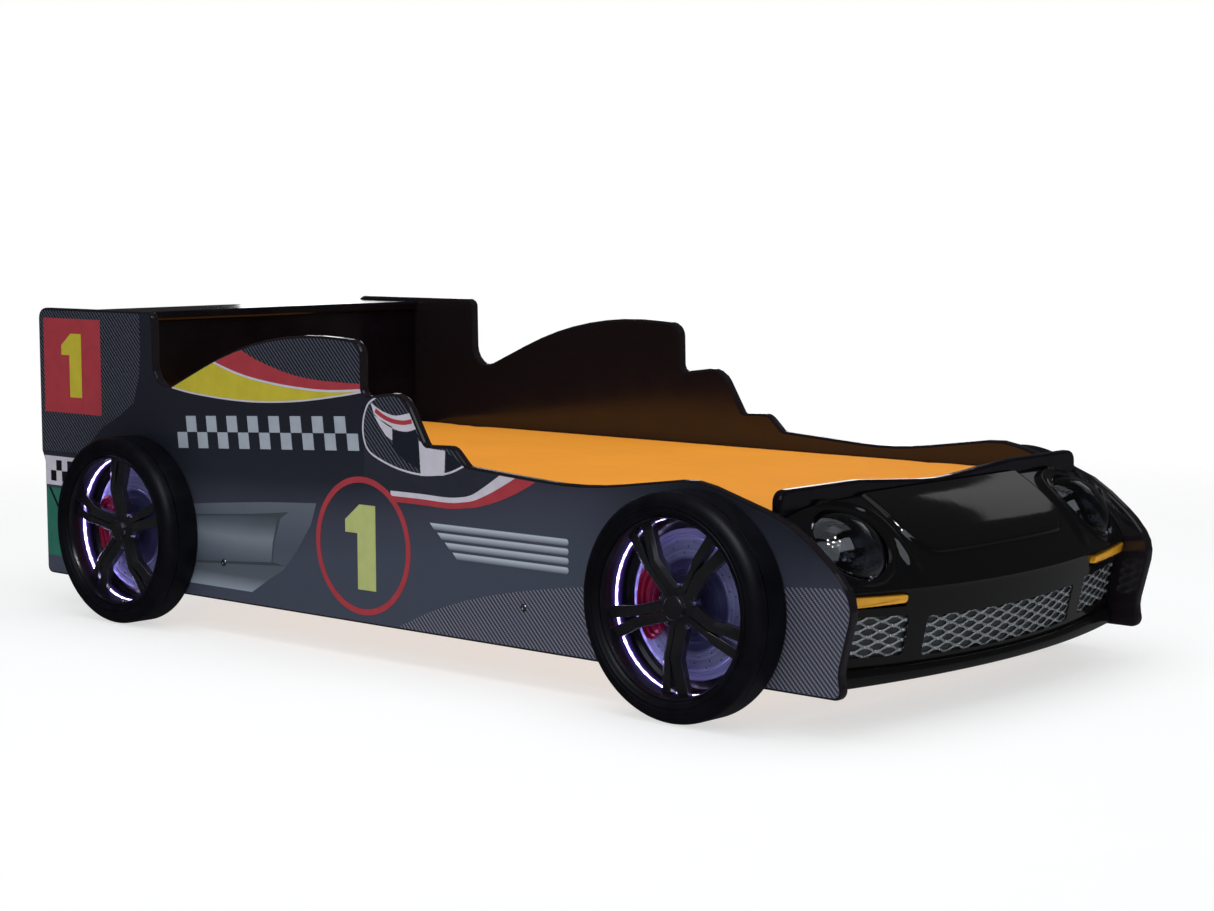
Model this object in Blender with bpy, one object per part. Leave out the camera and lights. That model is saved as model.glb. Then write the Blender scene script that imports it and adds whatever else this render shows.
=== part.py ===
"""Race-car toddler bed: two shaped side panels, headboard, wing shelf, footboard, a formed
bonnet, four wheel shells with lights, a slatted base and a mattress.

Metres, +Z up. The bonnet points along +X and the car's left side is +Y. The origin is on the
floor under the middle of the bed's outer box.
"""

import math

import bmesh
import bpy
from mathutils import Matrix, Vector

# Mattress space and board
MATTRESS_LENGTH = 1.400
MATTRESS_WIDTH = 0.700
MATTRESS_HEIGHT = 0.100
MATTRESS_CORNER = 0.030
MATTRESS_EDGE = 0.012
BOARD = 0.016
INNER_Y = 0.356
OUTER_Y = INNER_Y + BOARD
CUT = 0.0003

# Side panels
PANEL_REAR_X = -0.8615
PANEL_LOW_Z = 0.0524
PANEL_TOP_Z = 0.5056
PANEL_EDGE = 0.004

# Boards across the bed
HEADBOARD_X = -0.7015
FOOTBOARD_X = 0.7105
FOOTBOARD_TOP_Z = 0.309
FOOTBOARD_DIP = 0.014
SHELF_REAR_X = -0.852
SHELF_FRONT_X = -0.694
SHELF_TOP_Z = 0.499
CROSS_BOARD_LOW_Z = 0.062

# Slatted base
SLAT_TOP_Z = 0.178
SLAT_THICKNESS = 0.018
SLAT_WIDTH = 0.080
SLAT_COUNT = 10
RAIL_WIDTH = 0.030
RAIL_HEIGHT = 0.060
BEAM_SIDE = 0.044
LEG_SIDE = 0.040
LEG_PLACES = (("front", 0.522), ("rear", -0.667))

# Wheels
TYRE_RADIUS = 0.152
TYRE_DEPTH = 0.062
TYRE_SHOULDER = 0.0465
TYRE_BORE = 0.121
TYRE_SIDES = 32
RIM_RADIUS = 0.1198
RIM_INNER = 0.1165
RIM_BACK = 0.031
RIM_FRONT = 0.053
HUB_BACK = 0.024
HUB_RADIUS = 0.032
HUB_CAP_RADIUS = 0.016
DISC_BACK = 0.003
DISC_FRONT = 0.009
DISC_RADIUS = 0.100
HAT_RADIUS = 0.046
HAT_FRONT = 0.016
CALIPER_ARC = (143.0, 221.0)
CALIPER_RADII = (0.054, 0.079, 0.087)
LIGHT_DEPTHS = (0.021, 0.030)
SPOKE_COUNT = 5
SPOKE_THICKNESS = 0.012

# The spokes' bars at hub, kink and rim: radius, width, distance from the middle line, depth
SPOKE_STATIONS = (
    (0.020, 0.010, 0.0060, 0.038),
    (0.070, 0.012, 0.0080, 0.043),
    (0.1185, 0.017, 0.0120, 0.045),
)

# Axles: end of the bed, place along X and the angle that the first spoke is turned to
AXLES = (("front", 0.599, 52.0), ("rear", -0.590, 19.0))

# Bonnet and nose
HOOD_SKIN = 0.004
HOOD_REAR_X = FOOTBOARD_X + BOARD + HOOD_SKIN + CUT
HOOD_SIDE_Y = INNER_Y - CUT
HOOD_REAR_Z = 0.288
NOSE_X = 0.8615
NOSE_SWEEP = 0.050
NOSE_STEP = 0.006
NOSE_LEAN = 0.22
CREASE_Z = 0.179
CREASE_RISE = 0.006
FASCIA_LOW_Z = 0.074
FASCIA_LOW_RISE = 0.008
LIP_LOW_Z = 0.0545
HOOD_CROWN = 0.012

# Lamps in the bonnet
LAMP_X = 0.783
LAMP_Y = 0.283
LAMP_Z = 0.236
LAMP_RADIUS = 0.0535
LAMP_LEAN = 44.0
LAMP_TOE = 8.0

# Openings in the nose: middle, half length, low edge, high edge and rise towards the sides
CENTRE_GRILLE = (0.0, 0.180, 0.081, 0.134, 0.014)
SIDE_GRILLE = (0.279, 0.064, 0.084, 0.138, 0.014)
AMBER_LAMP = (0.288, 0.063, 0.1525, 0.1690, 0.010)
AMBER_PROUD = 0.003

# Light control box behind the headboard
BOX_LENGTH = 0.110
BOX_DEPTH = 0.030
BOX_HEIGHT = 0.064
BOX_Z = 0.380
BOX_EDGE = 0.004
BUTTON_RADIUS = 0.011
BUTTON_PROUD = 0.003
BUTTON_GAP = 0.0006
BUTTON_LENGTH = 0.011
WELL_DEPTH = 0.012
INLET_RADIUS = 0.004
INLET_DEPTH = 0.012

# Bolt covers on the side panels
BOLT_RADIUS = 0.0075
BOLT_PROUD = 0.003
BOLT_PLACES = (("rear", -0.375, 0.114), ("front", 0.285, 0.113))

# Corners of the side panel: x, z and the radius that rounds the corner
PANEL_CORNERS = (
    (-0.8525, PANEL_LOW_Z, 0.012),
    (-0.8525, 0.244, 0.010),
    (PANEL_REAR_X, 0.262, 0.010),
    (PANEL_REAR_X, PANEL_TOP_Z, 0.018),
    (-0.5480, PANEL_TOP_Z, 0.014),
    (-0.5460, 0.3705, 0.034),
    (-0.2620, 0.4900, 0.700),
    (-0.0475, 0.4750, 0.024),
    (-0.0460, 0.3930, 0.012),
    (0.0420, 0.4040, 0.040),
    (0.0880, 0.3290, 0.009),
    (0.1430, 0.3310, 0.020),
    (0.1720, 0.3040, 0.012),
    (0.3950, 0.2900, 0.700),
    (0.5980, 0.3170, 0.140),
    (0.7554, 0.2719, 0.180),
    (0.8273, 0.2157, 0.150),
    (0.8562, 0.1765, 0.050),
    (0.8320, 0.0850, 0.050),
    (0.8395, PANEL_LOW_Z, 0.013),
)


def clear_scene():
    for thing in list(bpy.data.objects):
        bpy.data.objects.remove(thing, do_unlink=True)


def material(name, color, roughness, metallic=0.0, glow=0.0, alpha=1.0):
    made = bpy.data.materials.new(name)
    made.use_nodes = True
    shader = made.node_tree.nodes["Principled BSDF"]
    shader.inputs["Base Color"].default_value = (*color, 1.0)
    shader.inputs["Roughness"].default_value = roughness
    shader.inputs["Metallic"].default_value = metallic
    shader.inputs["Alpha"].default_value = alpha
    if glow:
        shader.inputs["Emission Color"].default_value = (*color, 1.0)
        shader.inputs["Emission Strength"].default_value = glow
    made.diffuse_color = (*color, 1.0)
    return made


def add_object(name, shape, finish, parent=None):
    """An object holding the bmesh `shape`, with its faces pointing out."""
    bmesh.ops.recalc_face_normals(shape, faces=shape.faces)
    mesh = bpy.data.meshes.new(name)
    shape.to_mesh(mesh)
    shape.free()
    mesh.materials.append(finish)
    mesh.shade_smooth()
    mesh.set_sharp_from_angle(angle=math.radians(35))
    made = bpy.data.objects.new(name, mesh)
    bpy.context.scene.collection.objects.link(made)
    made.parent = parent
    return made


def add_empty(name, place, turn=(0.0, 0.0, 0.0)):
    made = bpy.data.objects.new(name, None)
    made.location = place
    made.rotation_euler = turn
    bpy.context.scene.collection.objects.link(made)
    return made


def add_cutter(name, shape, target):
    """A hidden helper that cuts its shape from `target`."""
    cutter = add_object(name, shape, target.data.materials[0], target.parent)
    cutter.hide_render = True
    cutter.display_type = "WIRE"
    cut = target.modifiers.new(name, "BOOLEAN")
    cut.operation = "DIFFERENCE"
    cut.solver = "EXACT"
    cut.object = cutter
    return cutter


def rounded_outline(corners):
    """The corners (x, z, radius) as points, with an arc in place of each corner."""
    points = []
    count = len(corners)
    for index, (x, z, radius) in enumerate(corners):
        here = Vector((x, z))
        back = (Vector(corners[index - 1][:2]) - here).normalized()
        ahead = (Vector(corners[(index + 1) % count][:2]) - here).normalized()
        half = back.angle(ahead) / 2
        centre = here + (back + ahead).normalized() * (radius / math.sin(half))
        start = here + back * (radius / math.tan(half)) - centre
        turn = start.angle_signed(here + ahead * (radius / math.tan(half)) - centre)
        steps = max(2, math.ceil(abs(turn) / math.radians(20)), math.ceil(abs(turn) * radius / 0.045))
        for step in range(steps + 1):
            angle = -turn * step / steps
            arm = Matrix.Rotation(angle, 2) @ start
            points.append(centre + arm)
    return points


def inset_outline(points, depth):
    """The outline moved inwards by `depth`, for an outline that runs clockwise from above Y."""
    area = sum(a.x * b.y - b.x * a.y for a, b in zip(points, points[1:] + points[:1]))
    side = math.copysign(1.0, area)
    moved = []
    for index, here in enumerate(points):
        back = (here - points[index - 1]).normalized()
        ahead = (points[(index + 1) % len(points)] - here).normalized()
        normal = Vector((-back.y - ahead.y, back.x + ahead.x)).normalized() * side
        stretch = max(0.5, math.cos(back.angle(ahead) / 2))
        moved.append(here + normal * (depth / stretch))
    return moved


def loft(rings, closed=False):
    """A solid through rings of points; its ends are capped unless it closes on itself."""
    shape = bmesh.new()
    made = [[shape.verts.new(point) for point in ring] for ring in rings]
    pairs = list(zip(made, made[1:]))
    if closed:
        pairs.append((made[-1], made[0]))
    for first, second in pairs:
        count = len(first)
        for index in range(count):
            after = (index + 1) % count
            shape.faces.new((first[index], first[after], second[after], second[index]))
    if not closed:
        shape.faces.new(made[0])
        shape.faces.new(list(reversed(made[-1])))
    return shape


def board_shape(outline, low, high, edge, place, steps=2):
    """A board with round edges: `outline` in the board's plane, `low` and `high` across it."""
    levels = []
    for step in range(steps + 1):
        angle = math.pi / 2 * step / steps
        levels.append((edge * (1 - math.sin(angle)), low + edge * (1 - math.cos(angle))))
    levels += [(inset, high + low - level) for inset, level in reversed(levels)]
    rings = []
    for inset, level in levels:
        ring = inset_outline(outline, inset) if inset > 1e-6 else outline
        rings.append([place(point, level) for point in ring])
    return loft(rings)


def upright_along_x(point, level):
    return Vector((point.x, level, point.y))


def upright_along_y(point, level):
    return Vector((level, point.x, point.y))


def flat(point, level):
    return Vector((point.x, point.y, level))


def box_shape(low, high):
    size = Vector(high) - Vector(low)
    middle = (Vector(high) + Vector(low)) / 2
    frame = Matrix.Translation(middle) @ Matrix.Diagonal((*size, 1.0))
    shape = bmesh.new()
    bmesh.ops.create_cube(shape, size=1.0, matrix=frame)
    return shape


def add_box(name, low, high, finish, edge=0.0, parent=None):
    made = add_object(name, box_shape(low, high), finish, parent)
    if edge:
        bevel = made.modifiers.new("edges", "BEVEL")
        bevel.width = edge
        bevel.segments = 1
    return made


def turned_shape(profile, sides, bore=True):
    """A closed profile of (radius, depth) turned about the Y axis, with depth towards -Y.

    With no bore the profile's first and last points are on the axis.
    """
    shape = bmesh.new()
    ends = {}
    if not bore:
        ends = {0: shape.verts.new((0, -profile[0][1], 0))}
        ends[len(profile) - 1] = shape.verts.new((0, -profile[-1][1], 0))
    columns = []
    for side in range(sides):
        angle = 2 * math.pi * (side + 0.5) / sides - math.pi / 2
        column = []
        for index, (radius, depth) in enumerate(profile):
            if index in ends:
                column.append(ends[index])
                continue
            column.append(shape.verts.new((radius * math.cos(angle), -depth, radius * math.sin(angle))))
        columns.append(column)
    last = len(profile) if bore else len(profile) - 1
    for side in range(sides):
        here, there = columns[side], columns[(side + 1) % sides]
        for index in range(last):
            after = (index + 1) % len(profile)
            corners = dict.fromkeys((here[index], here[after], there[after], there[index]))
            shape.faces.new(list(corners))
    return shape


# Boards


def add_side_panels(finish):
    outline = rounded_outline(PANEL_CORNERS)
    for side, inner, outer in (("left", INNER_Y, OUTER_Y), ("right", -INNER_Y, -OUTER_Y)):
        low, high = sorted((inner, outer))
        shape = board_shape(outline, low, high, PANEL_EDGE, upright_along_x)
        add_object("side_panel_" + side, shape, finish)


def add_cross_boards(finish):
    half = INNER_Y - CUT
    top = SHELF_TOP_Z - BOARD - CUT
    add_box(
        "headboard",
        (HEADBOARD_X - BOARD, -half, CROSS_BOARD_LOW_Z),
        (HEADBOARD_X, half, top),
        finish,
        0.001,
    )
    corners = (
        (SHELF_REAR_X, -half, 0.006),
        (SHELF_FRONT_X, -half, 0.006),
        (SHELF_FRONT_X, half, 0.006),
        (SHELF_REAR_X, half, 0.006),
    )
    shape = board_shape(rounded_outline(corners), SHELF_TOP_Z - BOARD, SHELF_TOP_Z, 0.004, flat)
    add_object("wing_shelf", shape, finish)
    corners = (
        (-half, CROSS_BOARD_LOW_Z, 0.005),
        (-half, FOOTBOARD_TOP_Z, 0.016),
        (-0.185, FOOTBOARD_TOP_Z, 0.400),
        (0.0, FOOTBOARD_TOP_Z - FOOTBOARD_DIP, 0.500),
        (0.185, FOOTBOARD_TOP_Z, 0.400),
        (half, FOOTBOARD_TOP_Z, 0.016),
        (half, CROSS_BOARD_LOW_Z, 0.005),
    )
    front = FOOTBOARD_X + BOARD
    shape = board_shape(rounded_outline(corners), FOOTBOARD_X, front, PANEL_EDGE, upright_along_y)
    add_object("footboard", shape, finish)


# Slatted base and mattress


def add_slatted_base(wood):
    rear = HEADBOARD_X + CUT
    front = FOOTBOARD_X - CUT
    rail_top = SLAT_TOP_Z - SLAT_THICKNESS - CUT
    rail_low = rail_top - RAIL_HEIGHT
    half = INNER_Y - CUT
    for side, sign in (("left", 1), ("right", -1)):
        low, high = sorted((sign * half, sign * (half - RAIL_WIDTH)))
        add_box("slat_rail_" + side, (rear, low, rail_low), (front, high, rail_top), wood, 0.002)
        for end, place in LEG_PLACES:
            add_box(
                f"leg_{end}_{side}",
                (place - LEG_SIDE / 2, min(low, sign * (half - LEG_SIDE)), 0.0),
                (place + LEG_SIDE / 2, max(high, sign * (half - LEG_SIDE)), rail_low - CUT),
                wood,
                0.002,
            )
    beam_low = rail_top - BEAM_SIDE
    side = BEAM_SIDE / 2
    add_box("centre_beam", (rear, -side, beam_low), (front, side, rail_top), wood, 0.002)
    add_box("centre_leg", (-side, -side, 0.0), (side, side, beam_low - CUT), wood, 0.002)
    length = front - rear
    pitch = (length - SLAT_WIDTH) / SLAT_COUNT
    for index in range(SLAT_COUNT):
        low = rear + pitch * (index + 0.5)
        add_box(
            f"slat_{index + 1:02d}",
            (low, -half + 0.002, SLAT_TOP_Z - SLAT_THICKNESS),
            (low + SLAT_WIDTH, half - 0.002, SLAT_TOP_Z),
            wood,
            0.002,
        )


def add_mattress(fabric):
    middle = (HEADBOARD_X + FOOTBOARD_X) / 2
    x, y = MATTRESS_LENGTH / 2, MATTRESS_WIDTH / 2
    outline = rounded_outline([(a, b, MATTRESS_CORNER) for a, b in ((-x, -y), (x, -y), (x, y), (-x, y))])
    low = SLAT_TOP_Z + CUT
    shape = board_shape(outline, 0.0, MATTRESS_HEIGHT, MATTRESS_EDGE, flat)
    made = add_object("mattress", shape, fabric)
    made.location = (middle, 0.0, low)


# Wheels


def tyre_profile():
    """Back edge, tread, round shoulder, side wall and bore, as radius and depth."""
    outer = TYRE_RADIUS / math.cos(math.pi / TYRE_SIDES)
    points = [(TYRE_BORE, CUT), (outer - 0.003, CUT), (outer, 0.006), (outer, TYRE_SHOULDER)]
    round_width = TYRE_DEPTH - TYRE_SHOULDER
    round_height = 0.020
    for step in (1, 2, 3):
        angle = math.pi / 2 * step / 3
        radius = outer - round_height * (1 - math.cos(angle))
        points.append((radius, TYRE_SHOULDER + round_width * math.sin(angle)))
    points.append((TYRE_BORE + 0.003, TYRE_DEPTH - 0.003))
    points.append((TYRE_BORE, TYRE_DEPTH - 0.007))
    return points


def spoke_bar(shape, angle, side):
    """One bar from hub to rim, on one side of its spoke's middle line."""
    turn = Matrix.Rotation(-math.radians(angle), 4, "Y")
    rings = []
    for radius, width, away, front in SPOKE_STATIONS:
        back = front - SPOKE_THICKNESS
        low = side * away - width / 2
        high = side * away + width / 2
        corners = ((-back, low), (-front, low), (-front, high), (-back, high))
        rings.append([shape.verts.new(turn @ Vector((radius, y, z))) for y, z in corners])
    for first, second in zip(rings, rings[1:]):
        for index in range(4):
            after = (index + 1) % 4
            shape.faces.new((first[index], first[after], second[after], second[index]))
    shape.faces.new(rings[0])
    shape.faces.new(list(reversed(rings[-1])))


def spokes_shape():
    """Five pairs of bars that start at the hub and part towards the rim."""
    shape = bmesh.new()
    for index in range(SPOKE_COUNT):
        for side in (1, -1):
            spoke_bar(shape, 360.0 * index / SPOKE_COUNT, side)
    return shape


def rim_mesh(finish):
    """Rim ring, hub and spokes joined into one body."""
    ring = [
        (RIM_INNER, RIM_BACK),
        (RIM_RADIUS, RIM_BACK),
        (RIM_RADIUS, RIM_FRONT),
        (RIM_RADIUS - 0.001, RIM_FRONT),
        (RIM_INNER, RIM_FRONT - 0.007),
    ]
    rim = add_object("rim_ring", turned_shape(ring, TYRE_SIDES), finish)
    hub = [
        (0.0, HUB_BACK),
        (HUB_RADIUS, HUB_BACK),
        (HUB_RADIUS, HUB_BACK + 0.010),
        (HUB_RADIUS - 0.010, HUB_BACK + 0.016),
        (HUB_CAP_RADIUS + 0.001, HUB_BACK + 0.016),
        (HUB_CAP_RADIUS, HUB_BACK + 0.019),
        (0.0, HUB_BACK + 0.019),
    ]
    parts = [
        add_object("rim_hub", turned_shape(hub, 16, bore=False), finish),
        add_object("rim_spokes", spokes_shape(), finish),
    ]
    for part in parts:
        join = rim.modifiers.new(part.name, "BOOLEAN")
        join.operation = "UNION"
        join.solver = "EXACT"
        join.use_self = True
        join.object = part
    bpy.context.view_layer.update()
    graph = bpy.context.evaluated_depsgraph_get()
    mesh = bpy.data.meshes.new_from_object(rim.evaluated_get(graph))
    mesh.name = "wheel_rim"
    for helper in (rim, *parts):
        bpy.data.objects.remove(helper, do_unlink=True)
    return mesh


def caliper_shape():
    """An arched block over the disc's edge, on the side that faces the tail."""
    low = DISC_FRONT + 0.0005
    inner, middle, outer = CALIPER_RADII
    outline = ((inner, low), (outer, low), (outer, 0.021), (middle, 0.025), (inner, 0.025))
    steps = 8
    rings = []
    for step in range(steps + 1):
        angle = math.radians(CALIPER_ARC[0] + (CALIPER_ARC[1] - CALIPER_ARC[0]) * step / steps)
        ring = []
        for radius, depth in outline:
            ring.append(Vector((radius * math.cos(angle), -depth, radius * math.sin(angle))))
        rings.append(ring)
    return loft(rings)


def add_wheels(rubber, black, light, steel, red):
    disc = [
        (0.0, DISC_BACK),
        (DISC_RADIUS, DISC_BACK),
        (DISC_RADIUS, DISC_FRONT),
        (HAT_RADIUS + 0.006, DISC_FRONT),
        (HAT_RADIUS, HAT_FRONT),
        (0.0, HAT_FRONT),
    ]
    low, high = LIGHT_DEPTHS
    strip = [(RIM_INNER, low), (RIM_RADIUS, low), (RIM_RADIUS, high), (RIM_INNER, high)]
    rim = rim_mesh(black)
    for side, sign, turn in (("left", 1, math.pi), ("right", -1, 0.0)):
        for end, axle, angle in AXLES:
            tag = f"_{end}_{side}"
            hub = add_empty("wheel" + tag, (axle, sign * OUTER_Y, TYRE_RADIUS), (0.0, 0.0, turn))
            add_object("tyre" + tag, turned_shape(tyre_profile(), TYRE_SIDES), rubber, hub)
            add_object("light_ring" + tag, turned_shape(strip, TYRE_SIDES), light, hub)
            add_object("brake_disc" + tag, turned_shape(disc, 24, bore=False), steel, hub)
            add_object("caliper" + tag, caliper_shape(), red, hub)
            wheel = bpy.data.objects.new("rim" + tag, rim)
            wheel.rotation_euler = (0.0, -math.radians(angle), 0.0)
            wheel.parent = hub
            bpy.context.scene.collection.objects.link(wheel)


# Bonnet, nose, grilles and lamps


def across_rise(y, rise):
    """How far a line across the nose has risen at `y`, from its middle to its ends."""
    return rise * (y / HOOD_SIDE_Y) ** 2


def nose_x(y, z):
    """The outer face of the nose below the crease, which curves across and leans back."""
    return NOSE_X - across_rise(y, NOSE_SWEEP) - NOSE_STEP - NOSE_LEAN * (CREASE_Z - z)


def hood_profile(y):
    """Points down the bonnet and nose at one place across the bed."""
    across = abs(y) / HOOD_SIDE_Y
    crease_x = NOSE_X - across_rise(y, NOSE_SWEEP)
    crease_z = CREASE_Z + across_rise(y, CREASE_RISE)
    low_z = FASCIA_LOW_Z + across_rise(y, FASCIA_LOW_RISE)
    rear_z = HOOD_REAR_Z - 0.016 * across**8
    points = []
    for step in range(6):
        part = step / 5
        lift = HOOD_CROWN * math.sin(math.pi * part) * (1 - 0.5 * across**4)
        x = HOOD_REAR_X + (crease_x - HOOD_REAR_X) * part
        z = rear_z + (crease_z - rear_z) * part
        points.append((x + lift * 0.6, z + lift * 0.8))
    points[-1] = (crease_x, crease_z)
    points.append((nose_x(y, crease_z - NOSE_STEP), crease_z - NOSE_STEP))
    lip = nose_x(y, low_z)
    points.append((lip, low_z))
    points.append((lip + 0.008, low_z - 0.006))
    points.append((lip + 0.007, LIP_LOW_Z + 0.004))
    points.append((lip - 0.010, LIP_LOW_Z))
    return points


def sheet_shape(rows):
    """An open sheet of quads through rows of points."""
    shape = bmesh.new()
    made = [[shape.verts.new(point) for point in row] for row in rows]
    for first, second in zip(made, made[1:]):
        for index in range(len(first) - 1):
            shape.faces.new((first[index], first[index + 1], second[index + 1], second[index]))
    return shape


def add_skin(name, shape, finish, thickness):
    """The sheet as a shell, thickened inwards from its outer face."""
    made = add_object(name, shape, finish)
    solid = made.modifiers.new("skin", "SOLIDIFY")
    solid.thickness = thickness
    solid.offset = -1.0
    return made


def add_strip(name, shape, finish, depth):
    """The sheet as a solid that runs straight back, towards the tail, by `depth`."""
    made = bmesh.ops.extrude_face_region(shape, geom=list(shape.faces), use_keep_orig=True)
    back = [item for item in made["geom"] if isinstance(item, bmesh.types.BMVert)]
    bmesh.ops.translate(shape, verts=back, vec=(-depth, 0.0, 0.0))
    return add_object(name, shape, finish)


def lamp_frame(sign):
    """The headlight's own frame, whose +Z leaves the bonnet."""
    lean = Matrix.Rotation(math.radians(LAMP_LEAN), 4, "Y")
    toe = Matrix.Rotation(math.radians(sign * LAMP_TOE), 4, "Z")
    return Matrix.Translation((LAMP_X, sign * LAMP_Y, LAMP_Z)) @ toe @ lean


def rod_profile(radius, low, high):
    """A plain cylinder's profile for turned_shape."""
    return [(0.0, low), (radius, low), (radius, high), (0.0, high)]


def round_shape(profile, frame, sides=24, bore=False):
    """A turned solid whose axis is `frame`'s Z."""
    shape = turned_shape(profile, sides, bore)
    upright = Matrix.Rotation(math.radians(-90), 4, "X")
    bmesh.ops.transform(shape, matrix=frame @ upright, verts=shape.verts)
    return shape


def band_rows(opening, sign, columns, margin=0.0):
    """Pairs of points (y, z), high then low, across an opening of the nose."""
    place, half, low, high, rise = opening
    rows = []
    for column in range(columns + 1):
        y = sign * place + (half + margin) * (2 * column / columns - 1)
        lift = across_rise(y, rise)
        rows.append(((y, high + lift + margin), (y, low + lift - margin)))
    return rows


def nose_cut(opening, sign, columns, margin=0.0):
    """A solid that opens the nose, straight along X, at one grille or lamp."""
    rows = band_rows(opening, sign, columns, margin)
    outline = [low for _, low in rows] + [high for high, _ in reversed(rows)]
    ends = (NOSE_X - 0.120, NOSE_X + 0.030)
    return loft([[Vector((x, y, z)) for y, z in outline] for x in ends])


def add_hood(gloss):
    columns = 22
    rows = []
    for column in range(columns + 1):
        y = -HOOD_SIDE_Y + 2 * HOOD_SIDE_Y * column / columns
        rows.append([Vector((x, y, z)) for x, z in hood_profile(y)])
    hood = add_skin("hood_shell", sheet_shape(rows), gloss, HOOD_SKIN)
    for sign, side in ((1, "left"), (-1, "right")):
        frame = lamp_frame(sign)
        hole = rod_profile(LAMP_RADIUS + 0.0005, -LAMP_RADIUS, LAMP_RADIUS)
        add_cutter("lamp_cut_" + side, round_shape(hole, frame), hood)
        add_cutter("grille_cut_" + side, nose_cut(SIDE_GRILLE, sign, 3), hood)
        add_cutter("amber_cut_" + side, nose_cut(AMBER_LAMP, sign, 3, 0.0005), hood)
    add_cutter("grille_cut_centre", nose_cut(CENTRE_GRILLE, 1, 6), hood)


def nose_strip(opening, sign, columns, depth, margin=0.0):
    """A sheet that follows the nose, `depth` behind its outer face."""
    rows = band_rows(opening, sign, columns, margin)
    return sheet_shape([[Vector((nose_x(y, z) - depth, y, z)) for y, z in row] for row in rows])


def add_grilles(mesh_metal):
    margin = 0.005
    behind = HOOD_SKIN + 0.0012
    add_strip("grille_centre", nose_strip(CENTRE_GRILLE, 1, 10, behind, margin), mesh_metal, 0.003)
    for sign, side in ((1, "left"), (-1, "right")):
        shape = nose_strip(SIDE_GRILLE, sign, 4, behind, margin)
        add_strip("grille_" + side, shape, mesh_metal, 0.003)


def add_headlights(chrome, clear, amber):
    rim = LAMP_RADIUS
    wall = 0.003
    foot = -0.004
    low = foot - 0.0005
    dome = [(0.0, 0.024), (0.019, 0.022), (0.035, 0.015), (0.045, 0.0055), (rim, foot)]
    inner = [(rim - wall, foot), (0.0425, 0.0035), (0.033, 0.0125), (0.018, 0.019), (0.0, 0.021)]
    bowl = [(0.0, -0.034), (0.024, -0.034), (0.041, -0.025), (rim, -0.012), (rim, low)]
    dish = [(rim - wall, low), (0.049, -0.012), (0.039, -0.022), (0.023, -0.031), (0.0, -0.031)]
    for sign, side in ((1, "left"), (-1, "right")):
        frame = lamp_frame(sign)
        add_object("headlight_lens_" + side, round_shape(dome + inner, frame), clear)
        add_object("headlight_bowl_" + side, round_shape(bowl + dish, frame), chrome)
        add_strip("turn_lamp_" + side, nose_strip(AMBER_LAMP, sign, 3, -AMBER_PROUD), amber, 0.010)


# Light control and small fittings


def add_light_control(case, key):
    rear = HEADBOARD_X - BOARD - CUT
    face = rear - BOX_DEPTH
    low = (face, -BOX_LENGTH / 2, BOX_Z - BOX_HEIGHT / 2)
    high = (rear, BOX_LENGTH / 2, BOX_Z + BOX_HEIGHT / 2)
    box = add_box("light_control_box", low, high, case, BOX_EDGE)
    frame = Matrix.Translation((face, 0.0, BOX_Z)) @ Matrix.Rotation(math.radians(90), 4, "Y")
    well = rod_profile(BUTTON_RADIUS + BUTTON_GAP, -WELL_DEPTH, WELL_DEPTH)
    add_cutter("button_well", round_shape(well, frame), box)
    inlet = rod_profile(INLET_RADIUS, -INLET_DEPTH, INLET_DEPTH)
    middle = Matrix.Translation((rear - BOX_DEPTH / 2, BOX_LENGTH / 2, BOX_Z))
    side = middle @ Matrix.Rotation(math.radians(90), 4, "X")
    add_cutter("inlet_bore", round_shape(inlet, side, sides=16), box)
    slide = add_empty("power_button_axis", (face, 0.0, BOX_Z), (0.0, -math.pi / 2, 0.0))
    cap = [
        (0.0, BUTTON_PROUD - BUTTON_LENGTH),
        (BUTTON_RADIUS, BUTTON_PROUD - BUTTON_LENGTH),
        (BUTTON_RADIUS, BUTTON_PROUD - 0.001),
        (BUTTON_RADIUS - 0.001, BUTTON_PROUD),
        (0.0, BUTTON_PROUD),
    ]
    add_object("power_button", round_shape(cap, Matrix.Identity(4)), key, slide)


def add_bolt_covers(finish):
    head = [
        (0.0, CUT),
        (BOLT_RADIUS, CUT),
        (BOLT_RADIUS, BOLT_PROUD * 0.5),
        (BOLT_RADIUS * 0.7, BOLT_PROUD),
        (0.0, BOLT_PROUD),
    ]
    for side, sign, turn in (("left", 1, math.pi), ("right", -1, 0.0)):
        for end, x, z in BOLT_PLACES:
            made = add_object(f"bolt_cover_{end}_{side}", turned_shape(head, 16, bore=False), finish)
            made.location = (x, sign * OUTER_Y, z)
            made.rotation_euler = (0.0, 0.0, turn)


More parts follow.
